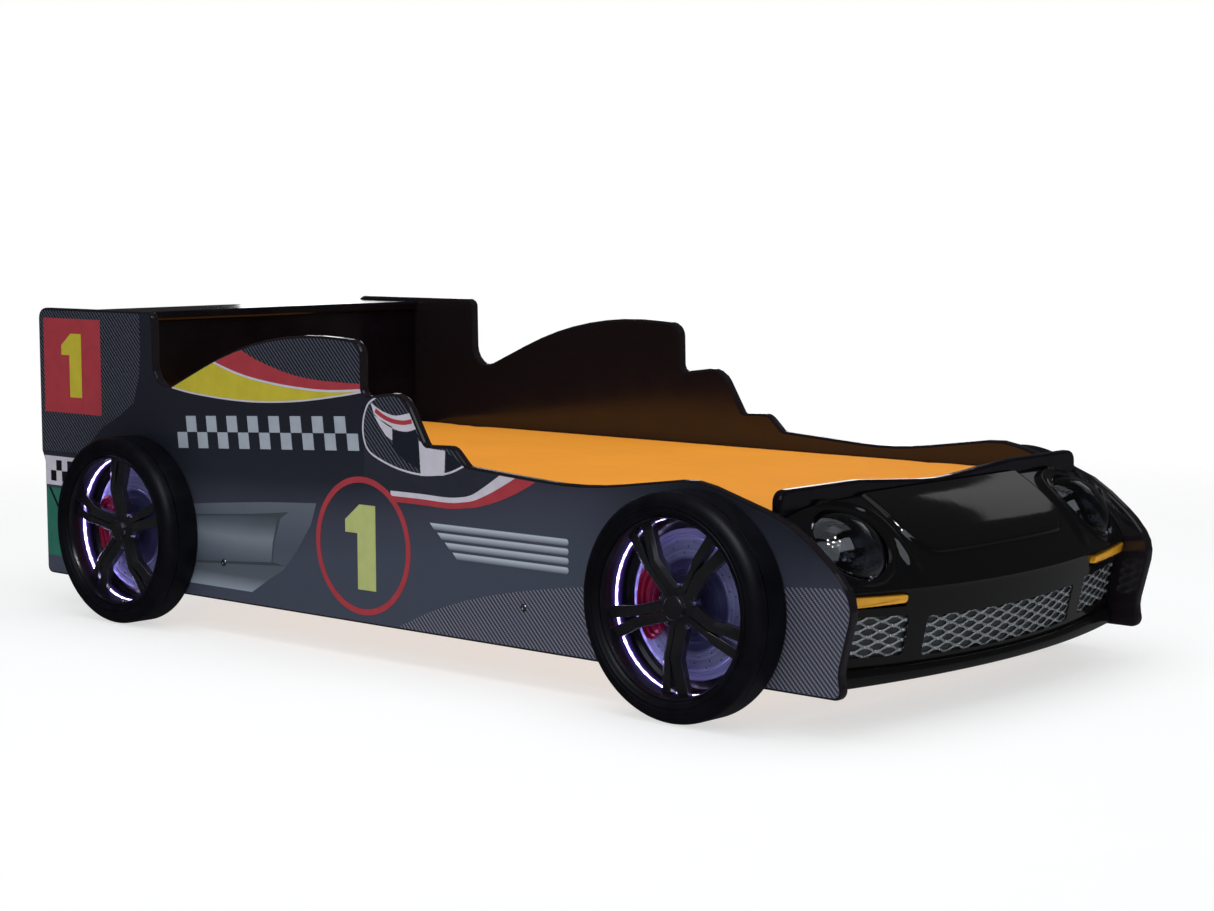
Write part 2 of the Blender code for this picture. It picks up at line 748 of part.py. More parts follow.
def build():
    clear_scene()
    board = material("lacquered_board", (0.012, 0.013, 0.018), 0.25)
    gloss = material("gloss_black", (0.006, 0.006, 0.008), 0.06)
    wood = material("pine", (0.62, 0.42, 0.22), 0.55)
    fabric = material("orange_cover", (0.76, 0.30, 0.05), 0.85)
    rubber = material("tyre_black", (0.012, 0.012, 0.014), 0.38)
    black = material("rim_black", (0.010, 0.010, 0.012), 0.22)
    light = material("violet_light", (0.72, 0.62, 1.0), 0.3, glow=4.0)
    steel = material("disc_steel", (0.45, 0.44, 0.58), 0.28, metallic=1.0)
    red = material("caliper_red", (0.42, 0.02, 0.04), 0.30)
    chrome = material("bowl_chrome", (0.55, 0.56, 0.58), 0.12, metallic=1.0)
    clear = material("lens_clear", (0.30, 0.31, 0.33), 0.05, alpha=0.35)
    amber = material("amber", (0.62, 0.33, 0.04), 0.30)
    mesh_metal = material("grille_silver", (0.45, 0.47, 0.48), 0.30, metallic=1.0)
    case = material("control_case", (0.020, 0.020, 0.022), 0.45)
    key = material("power_key", (0.55, 0.05, 0.04), 0.35)
    add_side_panels(board)
    add_cross_boards(board)
    add_slatted_base(wood)
    add_mattress(fabric)
    add_wheels(rubber, black, light, steel, red)
    add_hood(gloss)
    add_grilles(mesh_metal)
    add_headlights(chrome, clear, amber)
    add_light_control(case, key)
    add_bolt_covers(black)


build()
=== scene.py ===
"""Looks of the race-car toddler bed: printed panels, formed bonnet, lamps, grilles, wheels, mattress, base.

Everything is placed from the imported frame, in metres, with +X towards the bonnet and +Z up.
"""

import math

import bmesh
import bpy
from mathutils import Matrix, Vector


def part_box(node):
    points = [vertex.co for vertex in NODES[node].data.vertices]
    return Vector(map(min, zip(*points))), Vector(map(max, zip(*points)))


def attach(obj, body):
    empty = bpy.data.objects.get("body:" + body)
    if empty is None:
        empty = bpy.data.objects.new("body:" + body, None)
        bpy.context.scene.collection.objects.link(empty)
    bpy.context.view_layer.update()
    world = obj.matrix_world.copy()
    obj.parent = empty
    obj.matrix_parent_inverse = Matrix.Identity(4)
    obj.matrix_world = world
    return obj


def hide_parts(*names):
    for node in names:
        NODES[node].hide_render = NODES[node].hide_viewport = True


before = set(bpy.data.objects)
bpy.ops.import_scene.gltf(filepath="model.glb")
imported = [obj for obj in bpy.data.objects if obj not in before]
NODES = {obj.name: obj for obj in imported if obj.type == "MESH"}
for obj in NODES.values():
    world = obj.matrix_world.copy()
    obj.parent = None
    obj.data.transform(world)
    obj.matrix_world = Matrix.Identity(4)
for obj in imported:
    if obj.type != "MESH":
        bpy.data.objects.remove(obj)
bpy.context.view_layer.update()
FRAME_BODY = "bed_frame"
SIDES = (("left", 1), ("right", -1))

# Places read from the frame
PANEL_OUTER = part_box("side_panel_left")[1].y
HOOD_LOW, HOOD_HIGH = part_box("hood_shell")
HOOD_SIDE = HOOD_HIGH.y
NOSE_X = HOOD_HIGH.x
FOOTBOARD_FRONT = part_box("footboard")[1].x
MATTRESS_LOW, MATTRESS_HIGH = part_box("mattress")

# The bonnet's and nose's curves, as the frame's shell has them
HOOD_SKIN = 0.004
HOOD_REAR_X = FOOTBOARD_FRONT + HOOD_SKIN + 0.0003
HOOD_REAR_Z = 0.288
HOOD_CROWN = 0.012
NOSE_SWEEP = 0.050
NOSE_STEP = 0.006
NOSE_LEAN = 0.22
CREASE_Z = 0.179
CREASE_RISE = 0.006
FASCIA_LOW_Z = 0.074
FASCIA_LOW_RISE = 0.008
LIP_LOW_Z = 0.0545

# Headlights, as in the frame
LAMP_X = 0.781
LAMP_Y = 0.283
LAMP_Z = 0.238
LAMP_RADIUS = 0.0558
LAMP_LEAN = 44.0
LAMP_TOE = 8.0

# Openings in the nose: middle, half length, low edge, high edge and rise towards the sides
CENTRE_GRILLE = (0.0, 0.180, 0.081, 0.134, 0.014)
SIDE_GRILLE = (0.279, 0.064, 0.084, 0.138, 0.014)
AMBER_LAMP = (0.288, 0.063, 0.1525, 0.1690, 0.010)

# Wheels: radii and depths from the panel's face, as in the frame
TYRE_RADIUS = 0.152
TYRE_BORE = 0.121
BARREL_OUTER = 0.1207
BARREL_INNER = 0.1165
SPOKE_COUNT = 5
AXLES = (("front", 0.599, 52.0), ("rear", -0.590, 19.0))


# Small helpers for shapes


def mix(low, high, part):
    return low + (high - low) * part


def smoothstep(low, high, value):
    part = min(1.0, max(0.0, (value - low) / (high - low)))
    return part * part * (3 - 2 * part)


def bump_at(distance, width):
    """A soft round ridge: 1 in its middle and 0 from `width` away."""
    if abs(distance) >= width:
        return 0.0
    return math.cos(math.pi / 2 * distance / width) ** 2


def to_mesh(name, shape, finish, angle=35.0):
    """The bmesh as a mesh with outward faces, smooth but for edges sharper than `angle`."""
    bmesh.ops.recalc_face_normals(shape, faces=shape.faces)
    mesh = bpy.data.meshes.new(name)
    shape.to_mesh(mesh)
    shape.free()
    mesh.materials.append(finish)
    mesh.shade_smooth()
    mesh.set_sharp_from_angle(angle=math.radians(angle))
    return mesh


def link(name, mesh, place=None):
    made = bpy.data.objects.new(name, mesh)
    bpy.context.scene.collection.objects.link(made)
    if place is not None:
        made.matrix_world = place
    return made


def add_piece(name, mesh, place=None, body=FRAME_BODY, replaces=()):
    """A piece of the object: it rides on a body, and the frame's parts that it replaces are hidden."""
    made = link(name, mesh, place)
    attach(made, body)
    if replaces:
        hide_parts(*replaces)
    return made


def bevelled(made, width, segments=3, angle=30.0):
    edge = made.modifiers.new("edges", "BEVEL")
    edge.width = width
    edge.segments = segments
    edge.limit_method = "ANGLE"
    edge.angle_limit = math.radians(angle)
    edge.harden_normals = True
    return made


def applied(made):
    """The object's mesh with its modifiers applied."""
    bpy.context.view_layer.update()
    graph = bpy.context.evaluated_depsgraph_get()
    mesh = bpy.data.meshes.new_from_object(made.evaluated_get(graph))
    old = made.data
    made.modifiers.clear()
    made.data = mesh
    mesh.name = old.name
    return made


def boolean(made, operation, others):
    """The mesh after a union, difference or intersection with helper objects, which are then removed."""
    for other in others:
        cut = made.modifiers.new("cut", "BOOLEAN")
        cut.operation = operation
        cut.solver = "EXACT"
        cut.object = other
    applied(made)
    for other in others:
        bpy.data.objects.remove(other, do_unlink=True)
    return made


def bridge(shape, rings, closed=False):
    """Quads between rings of points in a bmesh, with a cap on each end unless it closes on itself."""
    made = [[shape.verts.new(point) for point in ring] for ring in rings]
    pairs = list(zip(made, made[1:]))
    if closed:
        pairs.append((made[-1], made[0]))
    for first, second in pairs:
        for index in range(len(first)):
            after = (index + 1) % len(first)
            shape.faces.new((first[index], first[after], second[after], second[index]))
    if not closed:
        shape.faces.new(made[0])
        shape.faces.new(made[-1][::-1])
    return shape


def loft(rings, closed=False):
    return bridge(bmesh.new(), rings, closed)


def sheet(rows):
    """An open sheet of quads through rows of points."""
    shape = bmesh.new()
    made = [[shape.verts.new(point) for point in row] for row in rows]
    for first, second in zip(made, made[1:]):
        for index in range(len(first) - 1):
            shape.faces.new((first[index], first[index + 1], second[index + 1], second[index]))
    return shape


def turned(profile, sides, shape=None, frame_matrix=None):
    """A profile of (radius, depth) turned about Y, with depth towards -Y; closed where a radius is 0."""
    shape = bmesh.new() if shape is None else shape
    before = set(shape.verts)
    poles = {}
    for index, (radius, depth) in enumerate(profile):
        if radius == 0.0:
            poles[index] = shape.verts.new((0.0, -depth, 0.0))
    columns = []
    for side in range(sides):
        angle = 2 * math.pi * side / sides
        column = []
        for index, (radius, depth) in enumerate(profile):
            place = (radius * math.cos(angle), -depth, radius * math.sin(angle))
            column.append(poles[index] if index in poles else shape.verts.new(place))
        columns.append(column)
    last = len(profile) if not poles else len(profile) - 1
    for side in range(sides):
        here, there = columns[side], columns[(side + 1) % sides]
        for index in range(last):
            after = (index + 1) % len(profile)
            corners = dict.fromkeys((here[index], here[after], there[after], there[index]))
            if len(corners) > 2:
                shape.faces.new(list(corners))
    if frame_matrix is not None:
        new = [vert for vert in shape.verts if vert not in before]
        bmesh.ops.transform(shape, matrix=frame_matrix, verts=new)
    return shape


def arc(centre, radius, start, end, steps):
    """Points on an arc, angles in degrees."""
    points = []
    for step in range(steps + 1):
        angle = math.radians(mix(start, end, step / steps))
        points.append((centre[0] + radius * math.cos(angle), centre[1] + radius * math.sin(angle)))
    return points


def curve_through(points, steps=8):
    """A smooth open curve (Catmull-Rom) through given points."""
    ends = [points[0], *points, points[-1]]
    found = []
    for four in zip(ends, ends[1:], ends[2:], ends[3:]):
        for step in range(steps):
            t = step / steps
            parts = (
                -t + 2 * t**2 - t**3,
                2 - 5 * t**2 + 3 * t**3,
                t + 4 * t**2 - 3 * t**3,
                t**3 - t**2,
            )
            found.append(tuple(sum(part * q for part, q in zip(parts, row)) / 2 for row in zip(*four)))
    found.append(tuple(points[-1]))
    return found


def tube(name, points, radius, finish, closed=False, sides=8):
    """A round tube along points, as a mesh."""
    curve = bpy.data.curves.new(name, "CURVE")
    curve.dimensions = "3D"
    curve.bevel_depth = radius
    curve.bevel_resolution = sides // 2 - 1
    curve.use_fill_caps = not closed
    line = curve.splines.new("POLY")
    line.points.add(len(points) - 1)
    for point, place in zip(line.points, points):
        point.co = (*place, 1.0)
    line.use_cyclic_u = closed
    curve.materials.append(finish)
    helper = link(name + "_curve", curve)
    bpy.context.view_layer.update()
    graph = bpy.context.evaluated_depsgraph_get()
    mesh = bpy.data.meshes.new_from_object(helper.evaluated_get(graph))
    bpy.data.objects.remove(helper, do_unlink=True)
    mesh.name = name
    mesh.shade_smooth()
    return mesh


# Small helpers for materials


class Finish:
    """A Principled material and short ways to add nodes to it. Each method returns an output socket."""

    def __init__(self, name, color, roughness, metallic=0.0, **sockets):
        self.material = bpy.data.materials.new(name)
        self.material.use_nodes = True
        self.tree = self.material.node_tree
        self.shader = self.tree.nodes["Principled BSDF"]
        self.set("Base Color", (*color, 1.0))
        self.set("Roughness", roughness)
        self.set("Metallic", metallic)
        for socket, value in sockets.items():
            self.set(socket.replace("_", " "), value)
        self.material.diffuse_color = (*color, 1.0)

    def set(self, socket, value):
        self.join(self.shader.inputs[socket], value)

    def join(self, socket, value):
        if isinstance(value, bpy.types.NodeSocket):
            self.tree.links.new(value, socket)
        else:
            socket.default_value = value

    def place(self):
        """Where the point is in its object's own frame."""
        return self.tree.nodes.new("ShaderNodeTexCoord").outputs["Object"]

    def parts(self, vector):
        node = self.tree.nodes.new("ShaderNodeSeparateXYZ")
        self.join(node.inputs[0], vector)
        return node.outputs

    def along_x(self, value):
        node = self.tree.nodes.new("ShaderNodeCombineXYZ")
        self.join(node.inputs[0], value)
        return node.outputs[0]

    def from_axle(self):
        """The distance from the object's own Y axis."""
        x, _, z = self.parts(self.place())
        squares = self.math("ADD", self.math("MULTIPLY", x, x), self.math("MULTIPLY", z, z))
        return self.math("SQRT", squares)

    def math(self, operation, *values):
        node = self.tree.nodes.new("ShaderNodeMath")
        node.operation = operation
        for socket, value in zip(node.inputs, values):
            self.join(socket, value)
        return node.outputs[0]

    def scaled(self, vector, scale, turn=(0.0, 0.0, 0.0)):
        node = self.tree.nodes.new("ShaderNodeMapping")
        self.join(node.inputs["Vector"], vector)
        node.inputs["Scale"].default_value = scale
        node.inputs["Rotation"].default_value = turn
        return node.outputs[0]

    def noise(self, vector, scale, detail=3.0, roughness=0.5):
        node = self.tree.nodes.new("ShaderNodeTexNoise")
        self.join(node.inputs["Vector"], vector)
        node.inputs["Scale"].default_value = scale
        node.inputs["Detail"].default_value = detail
        node.inputs["Roughness"].default_value = roughness
        return node.outputs["Fac"]

    def ramp(self, value, *stops):
        """A colour ramp of (place, colour or grey level) stops."""
        node = self.tree.nodes.new("ShaderNodeValToRGB")
        self.join(node.inputs[0], value)
        elements = node.color_ramp.elements
        while len(elements) < len(stops):
            elements.new(0.5)
        for element, (place, color) in zip(elements, stops):
            element.position = place
            element.color = (color,) * 3 + (1.0,) if isinstance(color, float) else (*color, 1.0)
        return node.outputs["Color"]

    def blend(self, factor, first, second):
        node = self.tree.nodes.new("ShaderNodeMix")
        node.data_type = "RGBA"
        self.join(node.inputs["Factor"], factor)
        for name, value in (("A", first), ("B", second)):
            socket = [s for s in node.inputs if s.name == name and s.type == "RGBA"][0]
            self.join(socket, (*value, 1.0) if isinstance(value, tuple) else value)
        return [s for s in node.outputs if s.type == "RGBA"][0]

    def bump(self, height, strength, distance):
        node = self.tree.nodes.new("ShaderNodeBump")
        node.inputs["Strength"].default_value = strength
        node.inputs["Distance"].default_value = distance
        self.join(node.inputs["Height"], height)
        self.set("Normal", node.outputs[0])

    def mottled(self, color, spread, scale):
        """The colour, a little lighter and darker in soft patches."""
        level = self.noise(self.place(), scale)
        dark = tuple(c * (1 - spread) for c in color)
        light = tuple(c * (1 + spread) for c in color)
        self.set("Base Color", self.ramp(level, (0.35, dark), (0.65, light)))
        return self

    def orange_peel(self, scale=90.0, strength=0.04, distance=0.001):
        """The faint waviness of lacquer or of a formed sheet."""
        self.bump(self.noise(self.place(), scale, detail=2.0), strength, distance)
        return self

    def worn(self, low, high, scale=14.0):
        """Roughness that changes a little, as handled gloss does."""
        level = self.noise(self.place(), scale, detail=4.0)
        self.set("Roughness", self.ramp(level, (0.3, low), (0.7, high)))
        return self


# Materials


PRINT_TOP = (0.0155, 0.0165, 0.0255)
PRINT_HIGH = (0.0185, 0.0215, 0.0315)
PRINT_MIDDLE = (0.047, 0.050, 0.075)
PRINT_LOW = (0.057, 0.066, 0.097)
EDGE_BLACK = (0.0112, 0.0088, 0.0115)
RED_INK = (0.385, 0.042, 0.056)
YELLOW_INK = (0.540, 0.450, 0.038)
LIME_INK = (0.460, 0.505, 0.188)
WHITE_INK = (0.570, 0.540, 0.620)


def panel_finish():
    """Lacquered board: a printed outer face that runs from charcoal to blue grey, and black edges."""
    made = Finish("lacquered_print", EDGE_BLACK, 0.14, Specular_IOR_Level=0.5)
    place = made.place()
    x, y, z = made.parts(place)
    # The light tone reaches higher up in front of the middle, and drops again at the nose
    reach = made.ramp(
        made.math("ADD", x, 0.2),
        (0.10, 0.020),
        (0.50, 0.090),
        (0.75, 0.090),
        (0.98, 0.005),
    )
    patches = made.math("MULTIPLY_ADD", made.noise(place, 3.0), 0.04, -0.02)
    height = made.math("ADD", made.math("SUBTRACT", z, reach), patches)
    tone = made.ramp(
        made.math("ADD", height, 0.02),
        (0.14, PRINT_LOW),
        (0.20, PRINT_MIDDLE),
        (0.26, PRINT_HIGH),
        (0.36, PRINT_TOP),
    )
    printed = made.math("GREATER_THAN", made.math("ABSOLUTE", y), PANEL_OUTER - 0.0003)
    made.set("Base Color", made.blend(printed, EDGE_BLACK, tone))
    made.worn(0.11, 0.18)
    return made.orange_peel(140.0, 0.03).material


def board_finish():
    """Plain black laminate with a faint mottle."""
    made = Finish("black_laminate", (0.0048, 0.0036, 0.0060), 0.20, Specular_IOR_Level=0.35)
    made.mottled((0.0048, 0.0036, 0.0060), 0.25, 18.0)
    made.worn(0.12, 0.20)
    return made.orange_peel(120.0, 0.03).material


def ink(name, color):
    made = Finish(name, color, 0.18)
    made.mottled(color, 0.05, 40.0)
    made.worn(0.14, 0.22, 30.0)
    return made.orange_peel(140.0, 0.03).material


def twill_finish(name, dark, light):
    """A printed 2 x 2 carbon twill, whose steps run down towards the bonnet."""
    made = Finish(name, dark, 0.18)
    x, _, z = made.parts(made.place())
    across = made.math("DIVIDE", x, TWILL_CELL)
    upward = made.math("DIVIDE", z, TWILL_CELL)
    steps = made.math("ADD", made.math("FLOOR", across), made.math("FLOOR", upward))
    warp = made.math("LESS_THAN", made.math("FLOORED_MODULO", steps, 4.0), 2.0)
    thread = made.math("PINGPONG", across, 0.5)
    weft = made.math("PINGPONG", upward, 0.5)
    warp_tone = made.ramp(thread, (0.0, tuple(c * 0.55 for c in light)), (0.5, light))
    weft_tone = made.ramp(weft, (0.0, tuple(c * 0.6 for c in dark)), (0.5, dark))
    made.set("Base Color", made.blend(warp, weft_tone, warp_tone))
    made.bump(warp, 0.05, 0.0004)
    return made.material


def louvre_finish():
    """Silver bars in print, each light along its top and dark along its foot."""
    made = Finish("silver_bars", (0.2, 0.22, 0.25), 0.20)
    _, _, z = made.parts(made.place())
    across = made.math("FRACT", made.math("DIVIDE", made.math("SUBTRACT", LOUVRE_TOP, z), LOUVRE_PITCH))
    tone = made.ramp(
        across,
        (0.0, (0.185, 0.212, 0.255)),
        (0.10, (0.470, 0.530, 0.605)),
        (0.45, (0.280, 0.312, 0.364)),
        (0.76, (0.100, 0.113, 0.136)),
    )
    made.set("Base Color", tone)
    return made.orange_peel(140.0, 0.03).material


def duct_finish(name, *stops):
    """A printed metal tone that changes up the panel; stops are (height, colour)."""
    made = Finish(name, stops[0][1], 0.20)
    place = made.place()
    _, _, z = made.parts(place)
    level = made.math("MULTIPLY_ADD", made.noise(place, 9.0), 0.010, -0.005)
    part = made.math("MULTIPLY", made.math("ADD", z, level), 4.0)
    made.set("Base Color", made.ramp(part, *((height * 4.0, color) for height, color in stops)))
    return made.orange_peel(140.0, 0.03).material


def gloss_finish():
    """Vacuum-formed black sheet: deep gloss with a slight waviness."""
    made = Finish("formed_gloss_black", (0.0045, 0.0045, 0.005), 0.06, Specular_IOR_Level=0.5)
    made.worn(0.045, 0.09, 7.0)
    return made.orange_peel(26.0, 0.05, 0.002).material


def tyre_finish():
    """Dull black, but for the polished edge of the tread's groove."""
    tone = (0.0036, 0.0036, 0.0068)
    made = Finish("formed_tyre_black", tone, 0.45, Specular_IOR_Level=0.15)
    made.mottled(tone, 0.3, 25.0)
    _, depth, _ = made.parts(made.place())
    groove = made.math("ABSOLUTE", made.math("ADD", depth, 0.0393))
    made.set("Roughness", made.ramp(made.math("MULTIPLY", groove, 100.0), (0.12, 0.10), (0.20, 0.45)))
    made.bump(made.noise(made.place(), 900.0, detail=2.0), 0.05, 0.0004)
    return made.material


def rim_finish():
    made = Finish("rim_gloss_black", (0.011, 0.011, 0.013), 0.20)
    made.mottled((0.011, 0.011, 0.013), 0.2, 30.0)
    made.worn(0.15, 0.26, 40.0)
    return made.orange_peel(200.0, 0.04).material


def barrel_finish():
    """Gloss black, with a painted violet glow on both sides of the strip, standing in for the strip's light
    spilled along the barrel.
    """
    made = Finish("barrel_gloss_black", (0.009, 0.008, 0.012), 0.20)
    made.mottled((0.009, 0.008, 0.012), 0.2, 30.0)
    _, depth, _ = made.parts(made.place())
    middle = (STRIP_LOW + STRIP_HIGH) / 2
    away = made.math("MULTIPLY", made.math("ABSOLUTE", made.math("ADD", depth, middle)), 50.0)
    # Painted light: the barrel itself glows violet beside the strip, though it is no lamp
    painted_glow = made.ramp(away, (0.10, (0.30, 0.17, 1.0)), (0.25, (0.07, 0.035, 0.30)), (0.62, (0.0, 0.0, 0.0)))
    made.set("Emission Color", painted_glow)
    made.set("Emission Strength", 0.26)
    return made.material


def light_finish():
    """The lit strip: violet-white, brightest at its evenly spaced diodes."""
    made = Finish("violet_light", (0.70, 0.60, 1.0), 0.3)
    x, _, z = made.parts(made.place())
    angle = made.math("ARCTAN2", z, x)
    dots = made.math("ABSOLUTE", made.math("SINE", made.math("MULTIPLY", angle, 21.0)))
    peaks = made.math("POWER", dots, 8.0)
    made.set("Emission Color", made.blend(peaks, (0.50, 0.34, 1.0), (0.88, 0.82, 1.0)))
    made.set("Emission Strength", made.math("MULTIPLY_ADD", peaks, 6.0, 5.0))
    return made.material


def disc_finish():
    """Turned metal with fine rings round the axle. Its violet tint is painted light from the lit strip, and
    the darker navy hat inside the rings is painted shade.
    """
    # Painted light: the violet base and ring tones stand in for the strip's violet light on grey steel
    made = Finish("turned_disc", (0.34, 0.34, 0.50), 0.30, metallic=0.75)
    radius = made.from_axle()
    bands = made.noise(made.scaled(made.along_x(radius), (260.0, 1.0, 1.0)), 1.0, 4.0)
    rings = made.ramp(bands, (0.35, (0.29, 0.31, 0.57)), (0.65, (0.48, 0.51, 0.86)))
    ring_zone = made.ramp(made.math("MULTIPLY", radius, 10.0), (0.60, 0.0), (0.65, 1.0))
    # Painted shade: the hat inside the rings is darker navy
    made.set("Base Color", made.blend(ring_zone, (0.090, 0.095, 0.230), rings))
    made.set("Roughness", made.ramp(bands, (0.3, 0.24), (0.7, 0.40)))
    made.bump(made.math("SINE", made.math("MULTIPLY", radius, 2600.0)), 0.12, 0.0003)
    return made.material


def caliper_finish():
    made = Finish("caliper_red", (0.34, 0.012, 0.062), 0.22, metallic=0.35, Coat_Weight=0.6)
    made.mottled((0.34, 0.012, 0.062), 0.12, 60.0)
    return made.orange_peel(300.0, 0.05).material


def bright_metal(name, color, roughness):
    made = Finish(name, color, roughness, metallic=1.0)
    made.mottled(color, 0.08, 120.0)
    made.worn(roughness * 0.8, roughness * 1.4, 80.0)
    return made.orange_peel(400.0, 0.04).material


def lens_finish():
    """Smoked clear dome."""
    made = Finish("smoked_lens", (0.34, 0.36, 0.40), 0.02, IOR=1.50, Transmission_Weight=1.0)
    made.worn(0.01, 0.04, 30.0)
    return made.orange_peel(30.0, 0.02).material


def bowl_finish():
    made = Finish("smoked_bowl", (0.050, 0.052, 0.060), 0.22, metallic=1.0)
    made.mottled((0.050, 0.052, 0.060), 0.2, 60.0)
    return made.orange_peel(300.0, 0.05).material


def amber_finish():
    made = Finish("amber_lens", (0.85, 0.410, 0.030), 0.16, Coat_Weight=0.5)
    _, y, _ = made.parts(made.place())
    ribs = made.math("SINE", made.math("MULTIPLY", y, 2100.0))
    made.mottled((0.84, 0.400, 0.030), 0.06, 60.0)
    made.bump(ribs, 0.10, 0.0004)
    return made.material


def mesh_backing_finish():
    made = Finish("grille_backing", (0.028, 0.033, 0.038), 0.45)
    made.mottled((0.028, 0.033, 0.038), 0.3, 60.0)
    return made.orange_peel(300.0, 0.1).material


def strand_finish():
    made = Finish("expanded_silver", (0.66, 0.70, 0.72), 0.26, metallic=0.70)
    made.mottled((0.66, 0.70, 0.72), 0.14, 150.0)
    made.worn(0.18, 0.34, 120.0)
    return made.orange_peel(600.0, 0.1).material


def cover_finish(name, color, thread=0.0011):
    """A plain-woven cotton cover; the weave's ribs are as fine as real thread."""
    made = Finish(name, color, 0.90, Specular_IOR_Level=0.15)
    place = made.place()
    x, y, z = made.parts(place)
    pitch = 2 * math.pi / thread / 2
    waves = [made.math("SINE", made.math("MULTIPLY", part, pitch)) for part in (x, y, z)]
    weave = made.math("ADD", made.math("ADD", waves[0], waves[1]), waves[2])
    slub = made.noise(made.scaled(place, (6.0, 90.0, 90.0)), 3.0, 4.0)
    patches = made.noise(place, 5.0)
    tone = made.math("ADD", made.math("MULTIPLY", slub, 0.5), made.math("MULTIPLY", patches, 0.5))
    dark = tuple(c * 0.95 for c in color)
    light = tuple(min(1.0, c * 1.04) for c in color)
    made.set("Base Color", made.ramp(tone, (0.35, dark), (0.65, light)))
    made.bump(weave, 0.25, 0.0003)
    return made.material


def pine_finish(name, along):
    """Planed pine, with its grain along X, Y or Z."""
    made = Finish(name, (0.60, 0.40, 0.21), 0.52)
    place = made.place()
    stretch = tuple(1.2 if axis == along else 16.0 for axis in "xyz")
    grain = made.noise(made.scaled(place, stretch), 5.0, 5.0, 0.6)
    fibre = made.noise(made.scaled(place, tuple(s * 6.0 for s in stretch)), 8.0, 3.0)
    tone = made.math("ADD", made.math("MULTIPLY", grain, 0.75), made.math("MULTIPLY", fibre, 0.25))
    light, middle, dark = (0.72, 0.52, 0.30), (0.62, 0.42, 0.22), (0.42, 0.24, 0.10)
    made.set("Base Color", made.ramp(tone, (0.32, dark), (0.5, middle), (0.7, light)))
    made.set("Roughness", made.ramp(tone, (0.3, 0.60), (0.7, 0.45)))
    made.bump(fibre, 0.15, 0.0005)
    return made.material


def case_finish(name, color, roughness):
    """Fine-sparked moulded plastic."""
    made = Finish(name, color, roughness)
    made.mottled(color, 0.12, 80.0)
    made.bump(made.noise(made.place(), 1400.0, detail=2.0), 0.15, 0.0003)
    return made.material


# Printed side panels


LAYER = 0.00016
PRINT_ROOT = 0.0002
TWILL_CELL = 0.0020
LOUVRE_TOP = 0.2175
LOUVRE_PITCH = 0.0131
LOUVRE_BAR = 0.0098


def face_outline(node, sign):
    """The outline (x, z) of a panel's flat outer face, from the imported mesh."""
    low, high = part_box(node)
    outer = high.y if sign > 0 else low.y
    shape = bmesh.new()
    shape.from_mesh(NODES[node].data)
    bmesh.ops.remove_doubles(shape, verts=shape.verts, dist=1e-5)
    flat = {face for face in shape.faces if all(abs(v.co.y - outer) < 2e-5 for v in face.verts)}
    steps = {}
    for edge in shape.edges:
        faces = [face for face in edge.link_faces if face in flat]
        if len(faces) != 1:
            continue
        for loop in faces[0].loops:
            if loop.edge == edge:
                steps[loop.vert] = loop.link_loop_next.vert
    start = next(iter(steps))
    outline, here = [], start
    while True:
        outline.append((here.co.x, here.co.z))
        here = steps[here]
        if here == start:
            break
    shape.free()
    return outline


def slab(outline, low_y, high_y):
    return loft([[Vector((x, y, z)) for x, z in outline] for y in (low_y, high_y)])


def numeral_one(middle, foot, height, facing):
    """A plain block figure 1; `facing` is 1 where it reads along +X and -1 where it reads along -X."""
    right = ((0.16, 0.0), (0.16, 1.0), (-0.11, 1.0))
    left = ((-0.36, 0.81), (-0.36, 0.66), (-0.15, 0.66), (-0.15, 0.0))
    return [(middle + facing * x * height, foot + z * height) for x, z in right + left]


def sides_of(line):
    """Each point of a line with its place along it, from 0 to 1, and the direction across it."""
    for index, here in enumerate(line):
        run = (line[min(len(line) - 1, index + 1)] - line[max(0, index - 1)]).normalized()
        yield index / len(line), here, Vector((-run.y, run.x))


def band(points, width):
    """A strip of even width along a smooth curve through the points."""
    line = [Vector(point) for point in curve_through(points)]
    above = [tuple(here + across * width / 2) for _, here, across in sides_of(line)]
    below = [tuple(here - across * width / 2) for _, here, across in sides_of(line)]
    return above + below[::-1]


def split_band(points, start_x, upper, lower):
    """Two strips that touch, the first above the second; each one's width grows between its two values."""
    line = [Vector(point) for point in curve_through(points) if point[0] > start_x]
    top, middle, low = [], [], []
    for part, here, across in sides_of(line):
        grown = smoothstep(0.30, 0.90, part)
        half = across * mix(*upper, grown) / 2
        top.append(tuple(here + half))
        middle.append(tuple(here - half))
        low.append(tuple(here - half - across * mix(*lower, grown)))
    return top + middle[::-1], middle + low[::-1]


def strip_cells(corner, along, up, columns, rows, lean):
    """Every other cell of a leaning chequer, from its low rear corner."""
    cells = []
    for column in range(columns):
        for row in range(rows):
            if (column + row) % 2:
                continue
            cell = []
            for a, b in ((0, 0), (1, 0), (1, 1), (0, 1)):
                part = (column + a) / columns
                level = (row + b) / rows
                spot = Vector(corner) + Vector(along) * part + Vector(up) * level
                cell.append((spot.x + lean * level, spot.y))
            cells.append(cell)
    return cells


